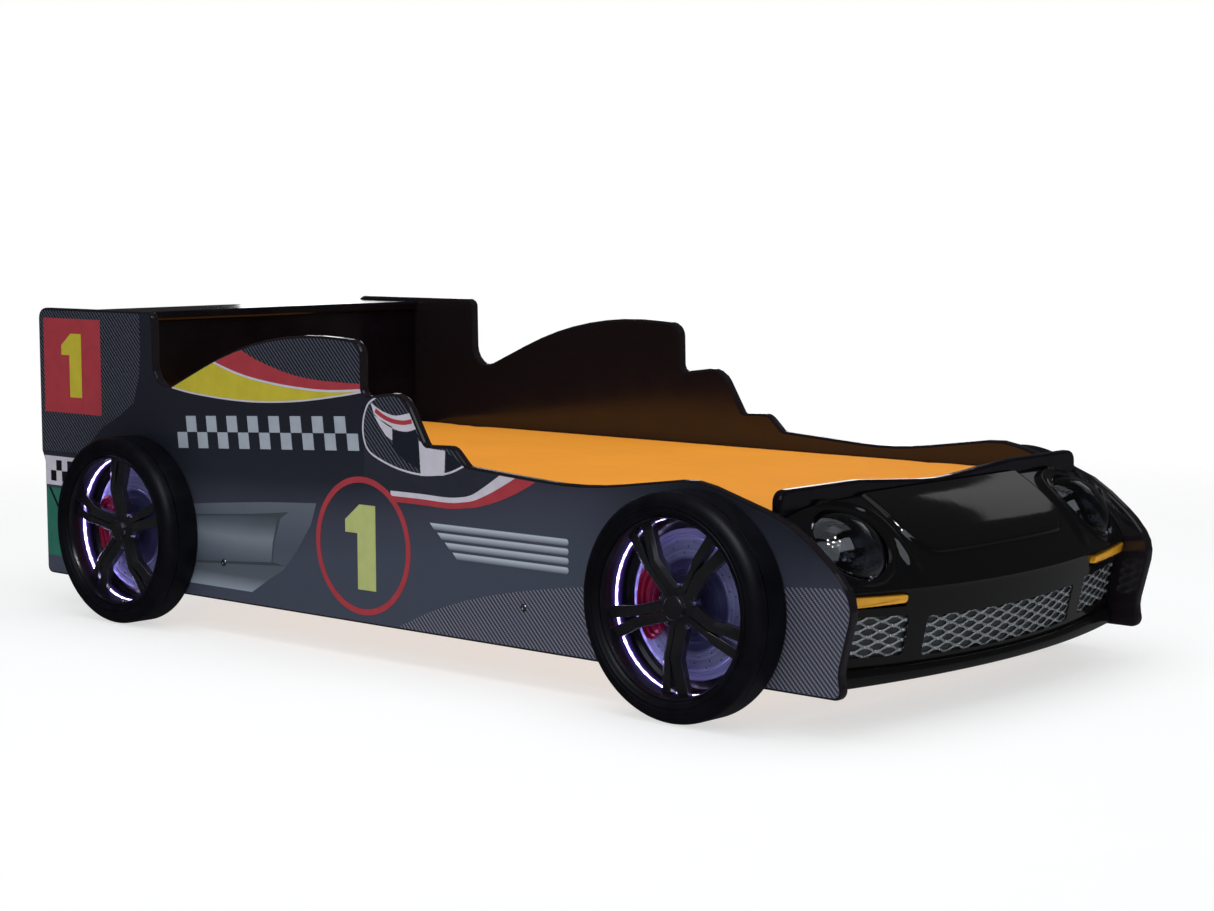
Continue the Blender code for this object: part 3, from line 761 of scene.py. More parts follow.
class Prints:
    """The printed areas of one side panel: thin plates on its outer face, higher levels over lower ones."""

    def __init__(self, side, sign, inks):
        self.side = side
        self.sign = sign
        self.inks = inks
        self.clip = face_outline("side_panel_" + side, sign)

    def depths(self, level):
        return sorted(self.sign * (PANEL_OUTER + out) for out in (-PRINT_ROOT, level * LAYER))

    def add(self, name, shape, ink):
        return add_piece(f"{name}_{self.side}", to_mesh(name, shape, self.inks[ink]))

    def plate(self, name, outline, level, ink):
        return self.add(name, slab(outline, *self.depths(level)), ink)

    def cut_plate(self, name, outline, level, ink):
        """A plate that ends where the panel does."""
        made = self.plate(name, outline, level, ink)
        low, high = self.depths(level)
        panel = to_mesh("clip", slab(self.clip, low - 0.01, high + 0.01), self.inks[ink])
        boolean(made, "INTERSECT", [link("clip", panel)])
        made.data.shade_flat()

    def ring(self, name, centre, outer, inner, level, ink):
        low, high = self.depths(level)
        rings = []
        for radius, depth in ((outer, low), (outer, high), (inner, high), (inner, low)):
            circle = arc(centre, radius, 0, 360, 96)[:-1]
            rings.append([Vector((x, depth, z)) for x, z in circle])
        self.add(name, loft(rings, closed=True), ink)

    def chequer(self, name, cells, level, ink):
        low, high = self.depths(level)
        shape = bmesh.new()
        for cell in cells:
            corners = [Vector(point) for point in cell]
            middle = sum(corners, Vector((0.0, 0.0))) / len(corners)
            shrunk = [middle + (corner - middle) * 0.985 for corner in corners]
            bridge(shape, [[(x, depth, z) for x, z in shrunk] for depth in (low, high)])
        self.add(name, shape, ink)


def box_outline(x, z, width, height):
    return [(x, z), (x + width, z), (x + width, z + height), (x, z + height)]


# Outlines (x, z) of the prints, from the rear to the front
REAR_TWILL = [(-0.900, 0.263), (-0.746, 0.263), (-0.712, 0.290), (-0.684, 0.312), (-0.638, 0.333)]
REAR_TWILL += [(-0.600, 0.356), (-0.584, 0.400), (-0.580, 0.440), (-0.580, 0.530), (-0.900, 0.530)]
ARCH_LOW = [(-0.498, 0.386), (-0.440, 0.379), (-0.353, 0.374), (-0.275, 0.374)]
ARCH_LOW += [(-0.186, 0.380), (-0.095, 0.392), (-0.030, 0.403)]
ARCH_MIDDLE = [(-0.410, 0.440), (-0.393, 0.431), (-0.327, 0.414), (-0.255, 0.404)]
ARCH_MIDDLE += [(-0.185, 0.399), (-0.117, 0.398), (-0.030, 0.404)]
ARCH_HIGH = [(-0.340, 0.465), (-0.322, 0.452), (-0.278, 0.436), (-0.208, 0.420)]
ARCH_HIGH += [(-0.139, 0.413), (-0.030, 0.412)]
DECK_LINE = [(0.000, 0.254), (0.075, 0.254), (0.132, 0.253), (0.162, 0.2555), (0.184, 0.260)]
DECK_LINE += [(0.205, 0.269), (0.231, 0.2825), (0.262, 0.300), (0.290, 0.317), (0.320, 0.336)]
DECK_REAR = [(0.320, 0.420), (0.020, 0.420), (0.000, 0.380), (-0.030, 0.360)]
DECK_REAR += [(-0.0425, 0.345), (-0.0425, 0.330), (-0.0425, 0.262)]
HELMET_LOW = [(-0.016, 0.393), (-0.033, 0.382), (-0.043, 0.359), (-0.043, 0.334), (-0.031, 0.313)]
HELMET_LOW += [(0.002, 0.299), (0.039, 0.290), (0.079, 0.286)]
HELMET_LOW += [(0.111, 0.288), (0.140, 0.293), (0.172, 0.306)]
HELMET_BAND_TOP = [(-0.027, 0.386), (-0.012, 0.378), (0.006, 0.372), (0.028, 0.369), (0.060, 0.375)]
HELMET_BAND_LOW = [(0.071, 0.352), (0.051, 0.347), (0.028, 0.348), (0.003, 0.356), (-0.020, 0.369)]
HELMET_STRIPE = [(-0.017, 0.3745), (0.002, 0.3655), (0.022, 0.3605), (0.044, 0.3595), (0.061, 0.3625)]
HELMET_CHEEK = [(-0.020, 0.367), (0.0, 0.359), (0.019, 0.352)]
HELMET_CHEEK += [(0.019, 0.332), (0.006, 0.338), (-0.008, 0.352)]
HELMET_VISOR = [(0.021, 0.3465), (0.050, 0.3455), (0.069, 0.350), (0.0755, 0.330)]
HELMET_VISOR += [(0.0755, 0.293), (0.043, 0.305), (0.019, 0.322)]
HELMET_CHIN = [(0.0755, 0.335), (0.090, 0.329), (0.101, 0.325)]
HELMET_CHIN += [(0.130, 0.324), (0.128, 0.288), (0.079, 0.284)]
HELMET_NOSE = [(0.131, 0.322), (0.152, 0.314), (0.163, 0.306), (0.150, 0.298), (0.131, 0.294)]
LOW_TWILL = [(0.013, 0.050), (0.095, 0.086), (0.178, 0.113), (0.277, 0.135)]
LOW_TWILL += [(0.401, 0.154), (0.560, 0.172), (0.746, 0.189), (0.880, 0.199)]
DUCT_OUTER = [(-0.480, 0.199), (-0.393, 0.208), (-0.266, 0.219), (-0.152, 0.226), (-0.165, 0.192)]
DUCT_OUTER += [(-0.198, 0.149), (-0.231, 0.116), (-0.269, 0.096), (-0.307, 0.074), (-0.480, 0.074)]
DUCT_SHADE = [(-0.480, 0.183), (-0.308, 0.197), (-0.217, 0.207), (-0.236, 0.196)]
DUCT_SHADE += [(-0.252, 0.156), (-0.256, 0.126), (-0.227, 0.1225), (-0.480, 0.106)]
DUCT_INNER = [(-0.480, 0.181), (-0.308, 0.194), (-0.242, 0.1985), (-0.255, 0.156)]
DUCT_INNER += [(-0.259, 0.1255), (-0.480, 0.109)]


def add_rear_prints(prints):
    prints.cut_plate("rear_twill", REAR_TWILL, 1, "twill")
    prints.plate("number_field", box_outline(-0.846, 0.330, 0.159, 0.159), 2, "red")
    prints.plate("rear_numeral", numeral_one(-0.7575, 0.357, 0.107, -prints.sign), 3, "yellow")
    prints.cut_plate("white_field", box_outline(-0.880, 0.205, 0.180, 0.0495), 1, "white")
    cells = strip_cells((-0.835, 0.212), (0.110, 0.0), (0.0, 0.036), 7, 2, 0.0)
    prints.chequer("white_field_chequer", cells, 2, "black")
    prints.cut_plate("green_field", box_outline(-0.880, 0.084, 0.180, 0.116), 1, "green")
    slash = [(-0.842, 0.200), (-0.836, 0.200), (-0.790, 0.137), (-0.796, 0.137)]
    prints.cut_plate("green_slash", slash, 2, "black")


def add_arch_prints(prints):
    low, middle, high = (curve_through(line) for line in (ARCH_LOW, ARCH_MIDDLE, ARCH_HIGH))
    prints.cut_plate("arch_yellow", low + middle[::-1] + [(-0.46, 0.47)], 1, "yellow")
    prints.cut_plate("arch_red", middle + high[::-1] + [(-0.40, 0.50)], 2, "red")
    prints.cut_plate("arch_twill", high + [(-0.030, 0.520), (-0.340, 0.520)], 1, "twill")
    prints.cut_plate("arch_line_low", band(ARCH_LOW, 0.0026), 3, "white")
    prints.cut_plate("arch_line_middle", band(ARCH_MIDDLE, 0.0034), 3, "white")
    cells = strip_cells((-0.484, 0.2895), (0.431, 0.0225), (0.0, 0.0515), 17, 2, -0.006)
    prints.chequer("speed_chequer", cells, 1, "light")


def add_middle_prints(prints):
    prints.cut_plate("deck_dark", curve_through(DECK_LINE) + DECK_REAR, 1, "deck")
    white, red = split_band(DECK_LINE, 0.012, (0.0075, 0.019), (0.0085, 0.022))
    prints.cut_plate("deck_white_line", white, 2, "white")
    prints.cut_plate("deck_red_line", red, 2, "red")
    prints.ring("number_ring", (-0.049, 0.170), 0.104, 0.0948, 3, "red")
    prints.plate("side_numeral", numeral_one(-0.0405, 0.104, 0.128, -prints.sign), 3, "lime")
    end, half = 0.366, LOUVRE_BAR / 2
    for index in range(4):
        top = LOUVRE_TOP - LOUVRE_PITCH * index
        start = 0.096 + 0.0155 * index
        bar = [(start, top), *arc((end, top - half), half, 90, -90, 8), (start + 0.0095, top - LOUVRE_BAR)]
        prints.plate(f"louvre_bar_{index + 1}", bar, 2, "louvre")
    low_area = curve_through(LOW_TWILL) + [(0.880, 0.030), (0.013, 0.030)]
    prints.cut_plate("low_twill", low_area, 1, "low_twill")


def add_helmet_prints(prints):
    """A plain driver's helmet: twill shell, white bands and a dark visor, with no lettering."""
    shell = curve_through(HELMET_LOW) + [(0.172, 0.440), (-0.016, 0.440)]
    prints.cut_plate("helmet_shell", shell, 2, "twill")
    white_band = curve_through(HELMET_BAND_TOP) + curve_through(HELMET_BAND_LOW)
    prints.cut_plate("helmet_band", white_band, 3, "white")
    prints.plate("helmet_band_stripe", band(HELMET_STRIPE, 0.0065), 4, "red")
    prints.plate("helmet_cheek", HELMET_CHEEK, 3, "white")
    prints.plate("helmet_visor", HELMET_VISOR, 3, "visor")
    prints.cut_plate("helmet_chin", HELMET_CHIN, 4, "white")
    prints.cut_plate("helmet_nose", HELMET_NOSE, 3, "visor")
    prints.cut_plate("helmet_line", band(HELMET_LOW, 0.0028), 5, "white")


def add_duct_prints(prints):
    """A printed air duct beside the rear wheel."""
    prints.plate("duct_outer", DUCT_OUTER, 1, "duct_outer")
    prints.plate("duct_shade", DUCT_SHADE, 2, "duct_shade")
    prints.plate("duct_inner", DUCT_INNER, 3, "duct_inner")


def make_inks():
    inks = {
        "red": ink("print_red", RED_INK),
        "yellow": ink("print_yellow", YELLOW_INK),
        "lime": ink("print_lime", LIME_INK),
        "white": ink("print_white", WHITE_INK),
        "light": ink("print_light_grey", (0.36, 0.40, 0.46)),
        "green": ink("print_green", (0.026, 0.150, 0.105)),
        "black": ink("print_black", (0.006, 0.007, 0.010)),
        "deck": ink("print_deck", (0.0230, 0.0260, 0.0380)),
        "visor": ink("print_visor", (0.0125, 0.0145, 0.0230)),
    }
    inks["twill"] = twill_finish("print_twill", (0.007, 0.008, 0.013), (0.088, 0.096, 0.130))
    inks["low_twill"] = twill_finish("print_low_twill", (0.036, 0.038, 0.054), (0.210, 0.218, 0.285))
    inks["louvre"] = louvre_finish()
    inks["duct_outer"] = duct_finish(
        "print_duct_outer",
        (0.076, (0.250, 0.288, 0.345)),
        (0.098, (0.090, 0.104, 0.130)),
        (0.150, (0.072, 0.086, 0.118)),
        (0.220, (0.110, 0.130, 0.162)),
    )
    inks["duct_shade"] = duct_finish(
        "print_duct_shade",
        (0.10, (0.048, 0.056, 0.070)),
        (0.21, (0.056, 0.064, 0.080)),
    )
    inks["duct_inner"] = duct_finish(
        "print_duct_inner",
        (0.112, (0.066, 0.079, 0.108)),
        (0.140, (0.120, 0.142, 0.176)),
        (0.160, (0.180, 0.208, 0.250)),
        (0.184, (0.086, 0.100, 0.126)),
        (0.200, (0.056, 0.064, 0.084)),
    )
    return inks


def add_prints():
    inks = make_inks()
    for side, sign in SIDES:
        prints = Prints(side, sign, inks)
        add_rear_prints(prints)
        add_arch_prints(prints)
        add_middle_prints(prints)
        add_helmet_prints(prints)
        add_duct_prints(prints)


# Bonnet and nose


def across_rise(y, rise):
    return rise * (y / HOOD_SIDE) ** 2


def nose_x(y, z):
    """The outer face of the nose below the crease, which curves across and leans back."""
    return NOSE_X - across_rise(y, NOSE_SWEEP) - NOSE_STEP - NOSE_LEAN * (CREASE_Z - z)


def crease_point(y):
    return Vector((NOSE_X - across_rise(y, NOSE_SWEEP), y, CREASE_Z + across_rise(y, CREASE_RISE)))


def top_point(y, part):
    """The plain surface of the bonnet, from its rear edge (0) to the crease (1)."""
    across = abs(y) / HOOD_SIDE
    rear = Vector((HOOD_REAR_X, y, HOOD_REAR_Z - 0.016 * across**8))
    lift = HOOD_CROWN * math.sin(math.pi * part) * (1 - 0.5 * across**4)
    return rear.lerp(crease_point(y), part) + Vector((0.6, 0.0, 0.8)) * lift


def lamp_frame(sign):
    """The headlight's own frame, whose +Z leaves the bonnet and whose +X runs down it."""
    lean = Matrix.Rotation(math.radians(LAMP_LEAN), 4, "Y")
    toe = Matrix.Rotation(math.radians(sign * LAMP_TOE), 4, "Z")
    return Matrix.Translation((LAMP_X, sign * LAMP_Y, LAMP_Z)) @ toe @ lean


LAMP_INVERSE = lamp_frame(1).inverted()
HOOD_RUN = 0.172
PANEL_HALF = 0.187
PANEL_FOOT = 0.126
PANEL_CORNER = 0.050


def relief(y, part):
    """How far the formed bonnet stands above its plain surface."""
    side = abs(y)
    run = part * HOOD_RUN
    # Raised middle panel with round lower corners, open towards the footboard
    beside = max(side - (PANEL_HALF - PANEL_CORNER), 0.0)
    below = max(run - (PANEL_FOOT - PANEL_CORNER), 0.0)
    inside = PANEL_CORNER - math.hypot(beside, below)
    height = 0.0050 * smoothstep(-0.0035, 0.0045, inside)
    # Brow that starts over the lamp and swoops down beside it
    brow = 0.206 + 0.072 * math.exp(-part / 0.10)
    fade = smoothstep(1.0, 0.70, part)
    height += 0.0060 * bump_at(side - brow, 0.017) * fade
    # Rim round the lamp, highest on its inner and lower side
    local = LAMP_INVERSE @ top_point(side, part)
    radius = math.hypot(local.x, local.y)
    turn = math.atan2(-local.y, local.x)
    facing = 0.45 + 0.55 * math.cos(turn - math.radians(40))
    height += 0.0045 * bump_at(radius - 0.0625, 0.009) * max(0.15, facing)
    # The sheet turns down into the crease
    return height * smoothstep(1.0, 0.93, part)


def hood_rows():
    columns, steps = 260, 84
    rows = []
    for column in range(columns + 1):
        y = -HOOD_SIDE + 2 * HOOD_SIDE * column / columns
        row = []
        for step in range(steps + 1):
            part = step / steps
            here = top_point(y, part)
            along = top_point(y, min(1.0, part + 0.002)) - top_point(y, max(0.0, part - 0.002))
            normal = Vector((-along.z, 0.0, along.x)).normalized()
            row.append(here + normal * relief(y, part))
        row += nose_row(y)
        rows.append(row)
    return rows


def nose_row(y):
    """From the crease down: a round lip, the fascia, and the bumper's lower lip."""
    crease = crease_point(y)
    step_z = crease.z - NOSE_STEP
    low_z = FASCIA_LOW_Z + across_rise(y, FASCIA_LOW_RISE)
    row = [crease + Vector((0.0006, 0.0, -0.0015)), crease + Vector((-0.0004, 0.0, -0.0034))]
    row.append(Vector((nose_x(y, step_z) + 0.0008, y, step_z + 0.0010)))
    rows = 22
    for step in range(rows + 1):
        z = mix(step_z - 0.001, low_z, step / rows)
        row.append(Vector((nose_x(y, z), y, z)))
    lip = nose_x(y, low_z)
    turns = 8
    for step in range(1, turns + 1):
        angle = math.radians(mix(90, -90, step / turns))
        middle = mix(low_z - 0.004, LIP_LOW_Z + 0.004, 0.5)
        half = (low_z - 0.004 - LIP_LOW_Z - 0.004) / 2 + 0.004
        row.append(Vector((lip + 0.002 + 0.0065 * math.cos(angle), y, middle + half * math.sin(angle))))
    row.append(Vector((lip - 0.006, y, LIP_LOW_Z)))
    return row


def band_outline(opening, sign, columns, margin=0.0, corner=0.006):
    """An opening of the nose as a closed outline (y, z) with round corners."""
    place, half, low, high, rise = opening
    half += margin
    low -= margin
    high += margin
    points = []
    middle_z = (low + high) / 2
    tall = (high - low) / 2
    corners = ((half, tall, 0), (-half, tall, 90), (-half, -tall, 180), (half, -tall, 270))
    for a, b, start in corners:
        inner = (a - math.copysign(corner, a), b - math.copysign(corner, b))
        points += arc(inner, corner, start, start + 90, 4)
        if start in (0, 180):
            run = -1 if start == 0 else 1
            for column in range(1, columns):
                points.append((a + run * 2 * half * column / columns, b))
    found = []
    for a, b in points:
        y = sign * place + a
        found.append((y, middle_z + b + across_rise(y, rise)))
    return found


def nose_cutter(opening, sign, columns, finish, margin=0.0, corner=0.006):
    outline = band_outline(opening, sign, columns, margin, corner)
    rings = [[Vector((x, y, z)) for y, z in outline] for x in (NOSE_X - 0.120, NOSE_X + 0.030)]
    return link("cutter", to_mesh("cutter", loft(rings), finish))


def disc_cutter(sign, radius, finish):
    profile = [(0.0, -0.05), (radius, -0.05), (radius, 0.05), (0.0, 0.05)]
    upright = lamp_frame(sign) @ Matrix.Rotation(math.radians(-90), 4, "X")
    return link("cutter", to_mesh("cutter", turned(profile, 72, frame_matrix=upright), finish))


def add_hood(gloss):
    mesh = to_mesh("bonnet", sheet(hood_rows()), gloss, 40.0)
    hood = add_piece("bonnet_shell", mesh, replaces=["hood_shell"])
    skin = hood.modifiers.new("skin", "SOLIDIFY")
    skin.thickness = HOOD_SKIN - 0.001
    skin.offset = -1.0
    cutters = [nose_cutter(CENTRE_GRILLE, 1, 24, gloss)]
    for sign in (1, -1):
        cutters.append(disc_cutter(sign, LAMP_RADIUS + 0.0006, gloss))
        cutters.append(nose_cutter(SIDE_GRILLE, sign, 10, gloss))
        cutters.append(nose_cutter(AMBER_LAMP, sign, 10, gloss, 0.0008, 0.004))
    boolean(hood, "DIFFERENCE", cutters)
    hood.data.set_sharp_from_angle(angle=math.radians(40))
    return hood


def nose_bar(name, outline_points, proud, depth, finish, replaces):
    """A solid that follows the nose: its outline (y, z), and how far it stands out and reaches back."""
    rings = []
    for inset, out in ((0.0, -depth), (0.0, proud * 0.35), (0.0009, proud * 0.85), (0.0024, proud)):
        middle_y = sum(y for y, _ in outline_points) / len(outline_points)
        ring = []
        for y, z in outline_points:
            low_z = min(q for p, q in outline_points if abs(p - y) < 0.012)
            high_z = max(q for p, q in outline_points if abs(p - y) < 0.012)
            shift_z = inset * (1 if z < (low_z + high_z) / 2 else -1)
            shift_y = inset * (1 if y < middle_y else -1)
            yy, zz = y + shift_y, z + shift_z
            ring.append(Vector((nose_x(yy, zz) + out, yy, zz)))
        rings.append(ring)
    return add_piece(name, to_mesh(name, loft(rings), finish), replaces=replaces)


AMBER_SHIFT = 0.005
AMBER_TAPER = 0.0045


def add_amber_lamps(amber):
    for side, sign in SIDES:
        place, half = AMBER_LAMP[:2]
        outline = []
        for y, z in band_outline(AMBER_LAMP, sign, 16, 0.0, 0.0045):
            inward = (place + half - abs(y)) / (2 * half)
            outline.append((y + sign * AMBER_SHIFT, z + (AMBER_TAPER * inward if z < 0.168 else 0.0)))
        nose_bar("amber_lamp_" + side, outline, 0.0065, 0.008, amber, ["turn_lamp_" + side])


CELL_HALF = 0.021
CELL_RISE = 0.00675
CELL_WAVE = 0.6
STRAND_HALF = 0.0021
STRAND_SECTION = (
    (-0.0011, -0.0021),
    (0.0010, -0.0018),
    (0.0014, 0.0005),
    (0.0009, 0.0021),
    (-0.0008, 0.0020),
)
BOND_SIZE = (0.0014, 0.0046, 0.0025)


def strand_points(opening, sign, start, slope, level):
    """One strand of the mesh, which runs flat past each bond, followed over the nose inside its opening."""
    place, half, low, high, rise = opening
    points = []
    steps = 10
    for step in range(-steps * 12, steps * 12 + 1):
        part = step / steps
        a = start + part * CELL_HALF
        wave = part - CELL_WAVE * math.sin(2 * math.pi * part) / (2 * math.pi)
        b = slope * wave * CELL_RISE
        if abs(a) > half + 0.003 or abs(b) > (high - low) / 2 + 0.003:
            continue
        y = sign * place + a
        z = (low + high) / 2 + b + across_rise(y, rise)
        points.append(Vector((nose_x(y, z) - level, y, z)))
    return points


def add_mesh(name, opening, sign, metal):
    """Expanded metal: strands that cross in long diamonds, with a flat bond where they meet."""
    place, half, low, high, rise = opening
    tall = (high - low) / 2
    shape = bmesh.new()
    level = HOOD_SKIN + 0.0001
    reach = int((half + tall / CELL_RISE * CELL_HALF) / CELL_HALF) + 2
    for slope in (1, -1):
        for index in range(-reach, reach + 1):
            points = strand_points(opening, sign, index * 2 * CELL_HALF, slope, level)
            if len(points) > 2:
                add_strand(shape, points, slope)
    rows = int(tall / CELL_RISE) + 1
    for row in range(-rows, rows + 1):
        for column in range(-reach, reach + 1):
            a, b = column * CELL_HALF, row * CELL_RISE
            if (row + column) % 2 or abs(a) > half + 0.001 or abs(b) > tall + 0.001:
                continue
            y = sign * place + a
            z = (low + high) / 2 + b + across_rise(y, rise)
            middle = Matrix.Translation((nose_x(y, z) - level + 0.0008, y, z))
            bond = middle @ Matrix.Diagonal((*BOND_SIZE, 1.0))
            bmesh.ops.create_icosphere(shape, subdivisions=2, radius=1.0, matrix=bond)
    return add_piece(name, to_mesh(name, shape, metal, 60.0))


def add_strand(shape, points, slope):
    """A flat twisted ribbon along the points."""
    lean = 0.0009 * slope / STRAND_HALF
    section = [Vector((out + lean * up, 0.0, up)) for out, up in STRAND_SECTION]
    bridge(shape, [[point + corner for corner in section] for point in points])


def add_grilles(metal, backing):
    add_mesh("mesh_centre", CENTRE_GRILLE, 1, metal)
    for side, sign in SIDES:
        add_mesh("mesh_" + side, SIDE_GRILLE, sign, metal)
    for node in ("grille_centre", "grille_left", "grille_right"):
        paint(node, backing)


def cap_arc(radius, height, foot, steps):
    """A dome's profile from its pole to its edge, as radius and depth."""
    sphere = (radius**2 + height**2) / (2 * height)
    reach = math.asin(radius / sphere)
    found = [(0.0, foot + height)]
    for step in range(1, steps + 1):
        angle = reach * step / steps
        found.append((sphere * math.sin(angle), foot + height - sphere * (1 - math.cos(angle))))
    return found


def add_headlights(clear, bowl, chrome, bulb):
    outer = [*cap_arc(LAMP_RADIUS, 0.0270, 0.0010, 16), (LAMP_RADIUS, -0.004)]
    inner = [*cap_arc(LAMP_RADIUS - 0.0026, 0.0245, 0.0010, 16), (LAMP_RADIUS - 0.0026, -0.004)]
    edge = LAMP_RADIUS - 0.0008
    dish = [(radius, -0.006 - depth) for radius, depth in cap_arc(edge, 0.0250, 0.0, 12)]
    case = dish + [(edge, -0.0075), (edge, -0.010), (0.049, -0.016), (0.0, -0.0338)]
    ring = [(0.0, -0.0255), (0.0135, -0.0245), (0.0150, -0.0205), (0.0165, -0.0150), (0.0178, -0.0150)]
    ring += [(0.0188, -0.0290), (0.0, -0.0300)]
    glass = cap_arc(0.0135, 0.006, -0.0210, 8) + [(0.0, -0.0230)]
    stud = [(0.0, 0.0040), (0.0020, 0.0036), (0.0033, 0.0020), (0.0037, 0.0)]
    stud += [(0.0037, -0.006), (0.0, -0.006)]
    upright = Matrix.Rotation(math.radians(-90), 4, "X")
    for side, sign in SIDES:
        place = lamp_frame(sign) @ upright
        lens = to_mesh("lens", turned(outer + inner[::-1], 96), clear)
        add_piece("lens_" + side, lens, place, replaces=["headlight_lens_" + side])
        shell = to_mesh("bowl", turned(case, 96), bowl)
        add_piece("bowl_" + side, shell, place, replaces=["headlight_bowl_" + side])
        holder = to_mesh("projector", turned(ring, 48), chrome)
        add_piece("projector_ring_" + side, holder, place)
        eye = to_mesh("projector_glass", turned(glass, 48), bulb)
        add_piece("projector_" + side, eye, place)
        spot = lamp_frame(sign) @ Matrix.Translation((LAMP_RADIUS - 0.0005, 0.0, -0.0015)) @ upright
        add_piece("lens_stud_" + side, to_mesh("lens_stud", turned(stud, 20), chrome), spot)


# Wheels


def outside_place(x, z, side, sign):
    """A place on a panel's outer face, for shapes that stand out towards their own -Y."""
    turn = math.pi if side == "left" else 0.0
    return Matrix.Translation((x, sign * PANEL_OUTER, z)) @ Matrix.Rotation(turn, 4, "Z")


def tyre_mesh(black):
    """Tread with a fine groove, round shoulder, side wall with two moulded ridges, and a bead lip."""
    edge = TYRE_RADIUS
    profile = [(TYRE_BORE, 0.0004), (edge - 0.003, 0.0004), (edge - 0.0008, 0.0015), (edge, 0.004)]
    profile += [(edge, 0.0384), (edge - 0.0011, 0.0390), (edge - 0.0011, 0.0396), (edge, 0.0402)]
    profile.append((edge, 0.0455))
    for step in range(1, 11):
        angle = math.pi / 2 * step / 10
        profile.append((edge - 0.0135 * (1 - math.cos(angle)), 0.0470 + 0.0143 * math.sin(angle)))
    profile += [(0.1362, 0.0613), (0.1354, 0.0619), (0.1347, 0.0620), (0.1340, 0.0618), (0.1333, 0.0611)]
    profile += [(0.1306, 0.0609), (0.1299, 0.0617), (0.1291, 0.0619), (0.1283, 0.0615), (0.1277, 0.0604)]
    profile += [(0.1250, 0.0596), (0.1218, 0.0570), (TYRE_BORE, 0.0545)]
    return to_mesh("tyre", turned(profile, 144), black, 50.0)


STRIP_LOW = 0.0233
STRIP_HIGH = 0.0277


def barrel_profile():
    """The rim's barrel with a groove for the light strip, and a floor ring behind the disc."""
    return [
        (0.094, 0.0008),
        (BARREL_OUTER, 0.0008),
        (BARREL_OUTER, 0.0535),
        (0.1200, 0.0550),
        (0.1188, 0.0548),
        (0.1180, 0.0525),
        (0.1170, 0.0505),
        (BARREL_INNER, 0.0475),
        (BARREL_INNER, STRIP_HIGH + 0.0010),
        (0.1190, STRIP_HIGH + 0.0006),
        (0.1190, STRIP_LOW - 0.0006),
        (BARREL_INNER, STRIP_LOW - 0.0010),
        (BARREL_INNER, 0.0060),
        (0.1120, 0.0024),
        (0.094, 0.0022),
    ]


def spoke_rings(side):
    """One of the two bars of a spoke: wide at the hub, kinked, then a flat blade out to the barrel."""
    stations = (
        # radius, inner edge, outer edge, front at the inner edge, front at the outer edge, thickness
        (0.010, 0.0004, 0.0140, 0.0380, 0.0350, 0.012),
        (0.024, 0.0005, 0.0150, 0.0410, 0.0375, 0.013),
        (0.052, 0.0006, 0.0148, 0.0480, 0.0440, 0.013),
        (0.067, 0.0008, 0.0150, 0.0515, 0.0475, 0.013),
        (0.073, 0.0014, 0.0165, 0.0490, 0.0470, 0.013),
        (0.094, 0.0036, 0.0195, 0.0440, 0.0430, 0.012),
        (0.1185, 0.0060, 0.0228, 0.0395, 0.0390, 0.012),
    )
    rings = []
    for radius, near, far, front_near, front_far, thick in stations:
        corners = (
            (near, front_near),
            (mix(near, far, 0.62), mix(front_near, front_far, 0.25)),
            (far, front_far - 0.0020),
            (far, front_far - thick),
            (near, front_near - thick),
        )
        rings.append([Vector((radius, -depth, side * across)) for across, depth in corners])
    return rings


def spoke_mesh(black, start):
    """Five double spokes, the first turned `start` degrees from the rear of the wheel's own X axis."""
    shape = bmesh.new()
    for index in range(SPOKE_COUNT):
        turn = Matrix.Rotation(-math.radians(start + 360.0 * index / SPOKE_COUNT), 4, "Y")
        for side in (1, -1):
            bridge(shape, [[turn @ point for point in ring] for ring in spoke_rings(side)])
    return to_mesh("spokes", shape, black, 25.0)


def hub_mesh(black):
    profile = [(0.0, 0.0485), (0.0140, 0.0483), (0.0158, 0.0476), (0.0166, 0.0462)]
    profile += [(0.0168, 0.0430), (0.0176, 0.0410)]
    profile += [(0.0230, 0.0400), (0.0270, 0.0372), (0.0300, 0.0330), (0.0310, 0.0240), (0.0, 0.0240)]
    return to_mesh("hub", turned(profile, 64), black, 40.0)


def lug_mesh(metal, start):
    shape = bmesh.new()
    profile = [(0.0, 0.0405), (0.0016, 0.0403), (0.0030, 0.0395), (0.0034, 0.0380)]
    profile += [(0.0034, 0.0330), (0.0, 0.0330)]
    for index in range(SPOKE_COUNT):
        turn = Matrix.Rotation(-math.radians(start + 360.0 * (index + 0.5) / SPOKE_COUNT), 4, "Y")
        turned(profile, 18, shape, turn @ Matrix.Translation((0.0285, 0.0, 0.0)))
    return to_mesh("lug_bolts", shape, metal, 40.0)


def strip_mesh(light):
    """A strip with a rounded face, stuck in the barrel's groove."""
    profile = [(0.1188, STRIP_LOW), (0.1188, STRIP_HIGH)]
    profile += [(0.1170, STRIP_HIGH - 0.0002), (0.1163, STRIP_HIGH - 0.0010)]
    profile.append((0.1160, (STRIP_LOW + STRIP_HIGH) / 2))
    profile += [(0.1163, STRIP_LOW + 0.0010), (0.1170, STRIP_LOW + 0.0002)]
    return to_mesh("light_strip", turned(profile, 160), light, 60.0)


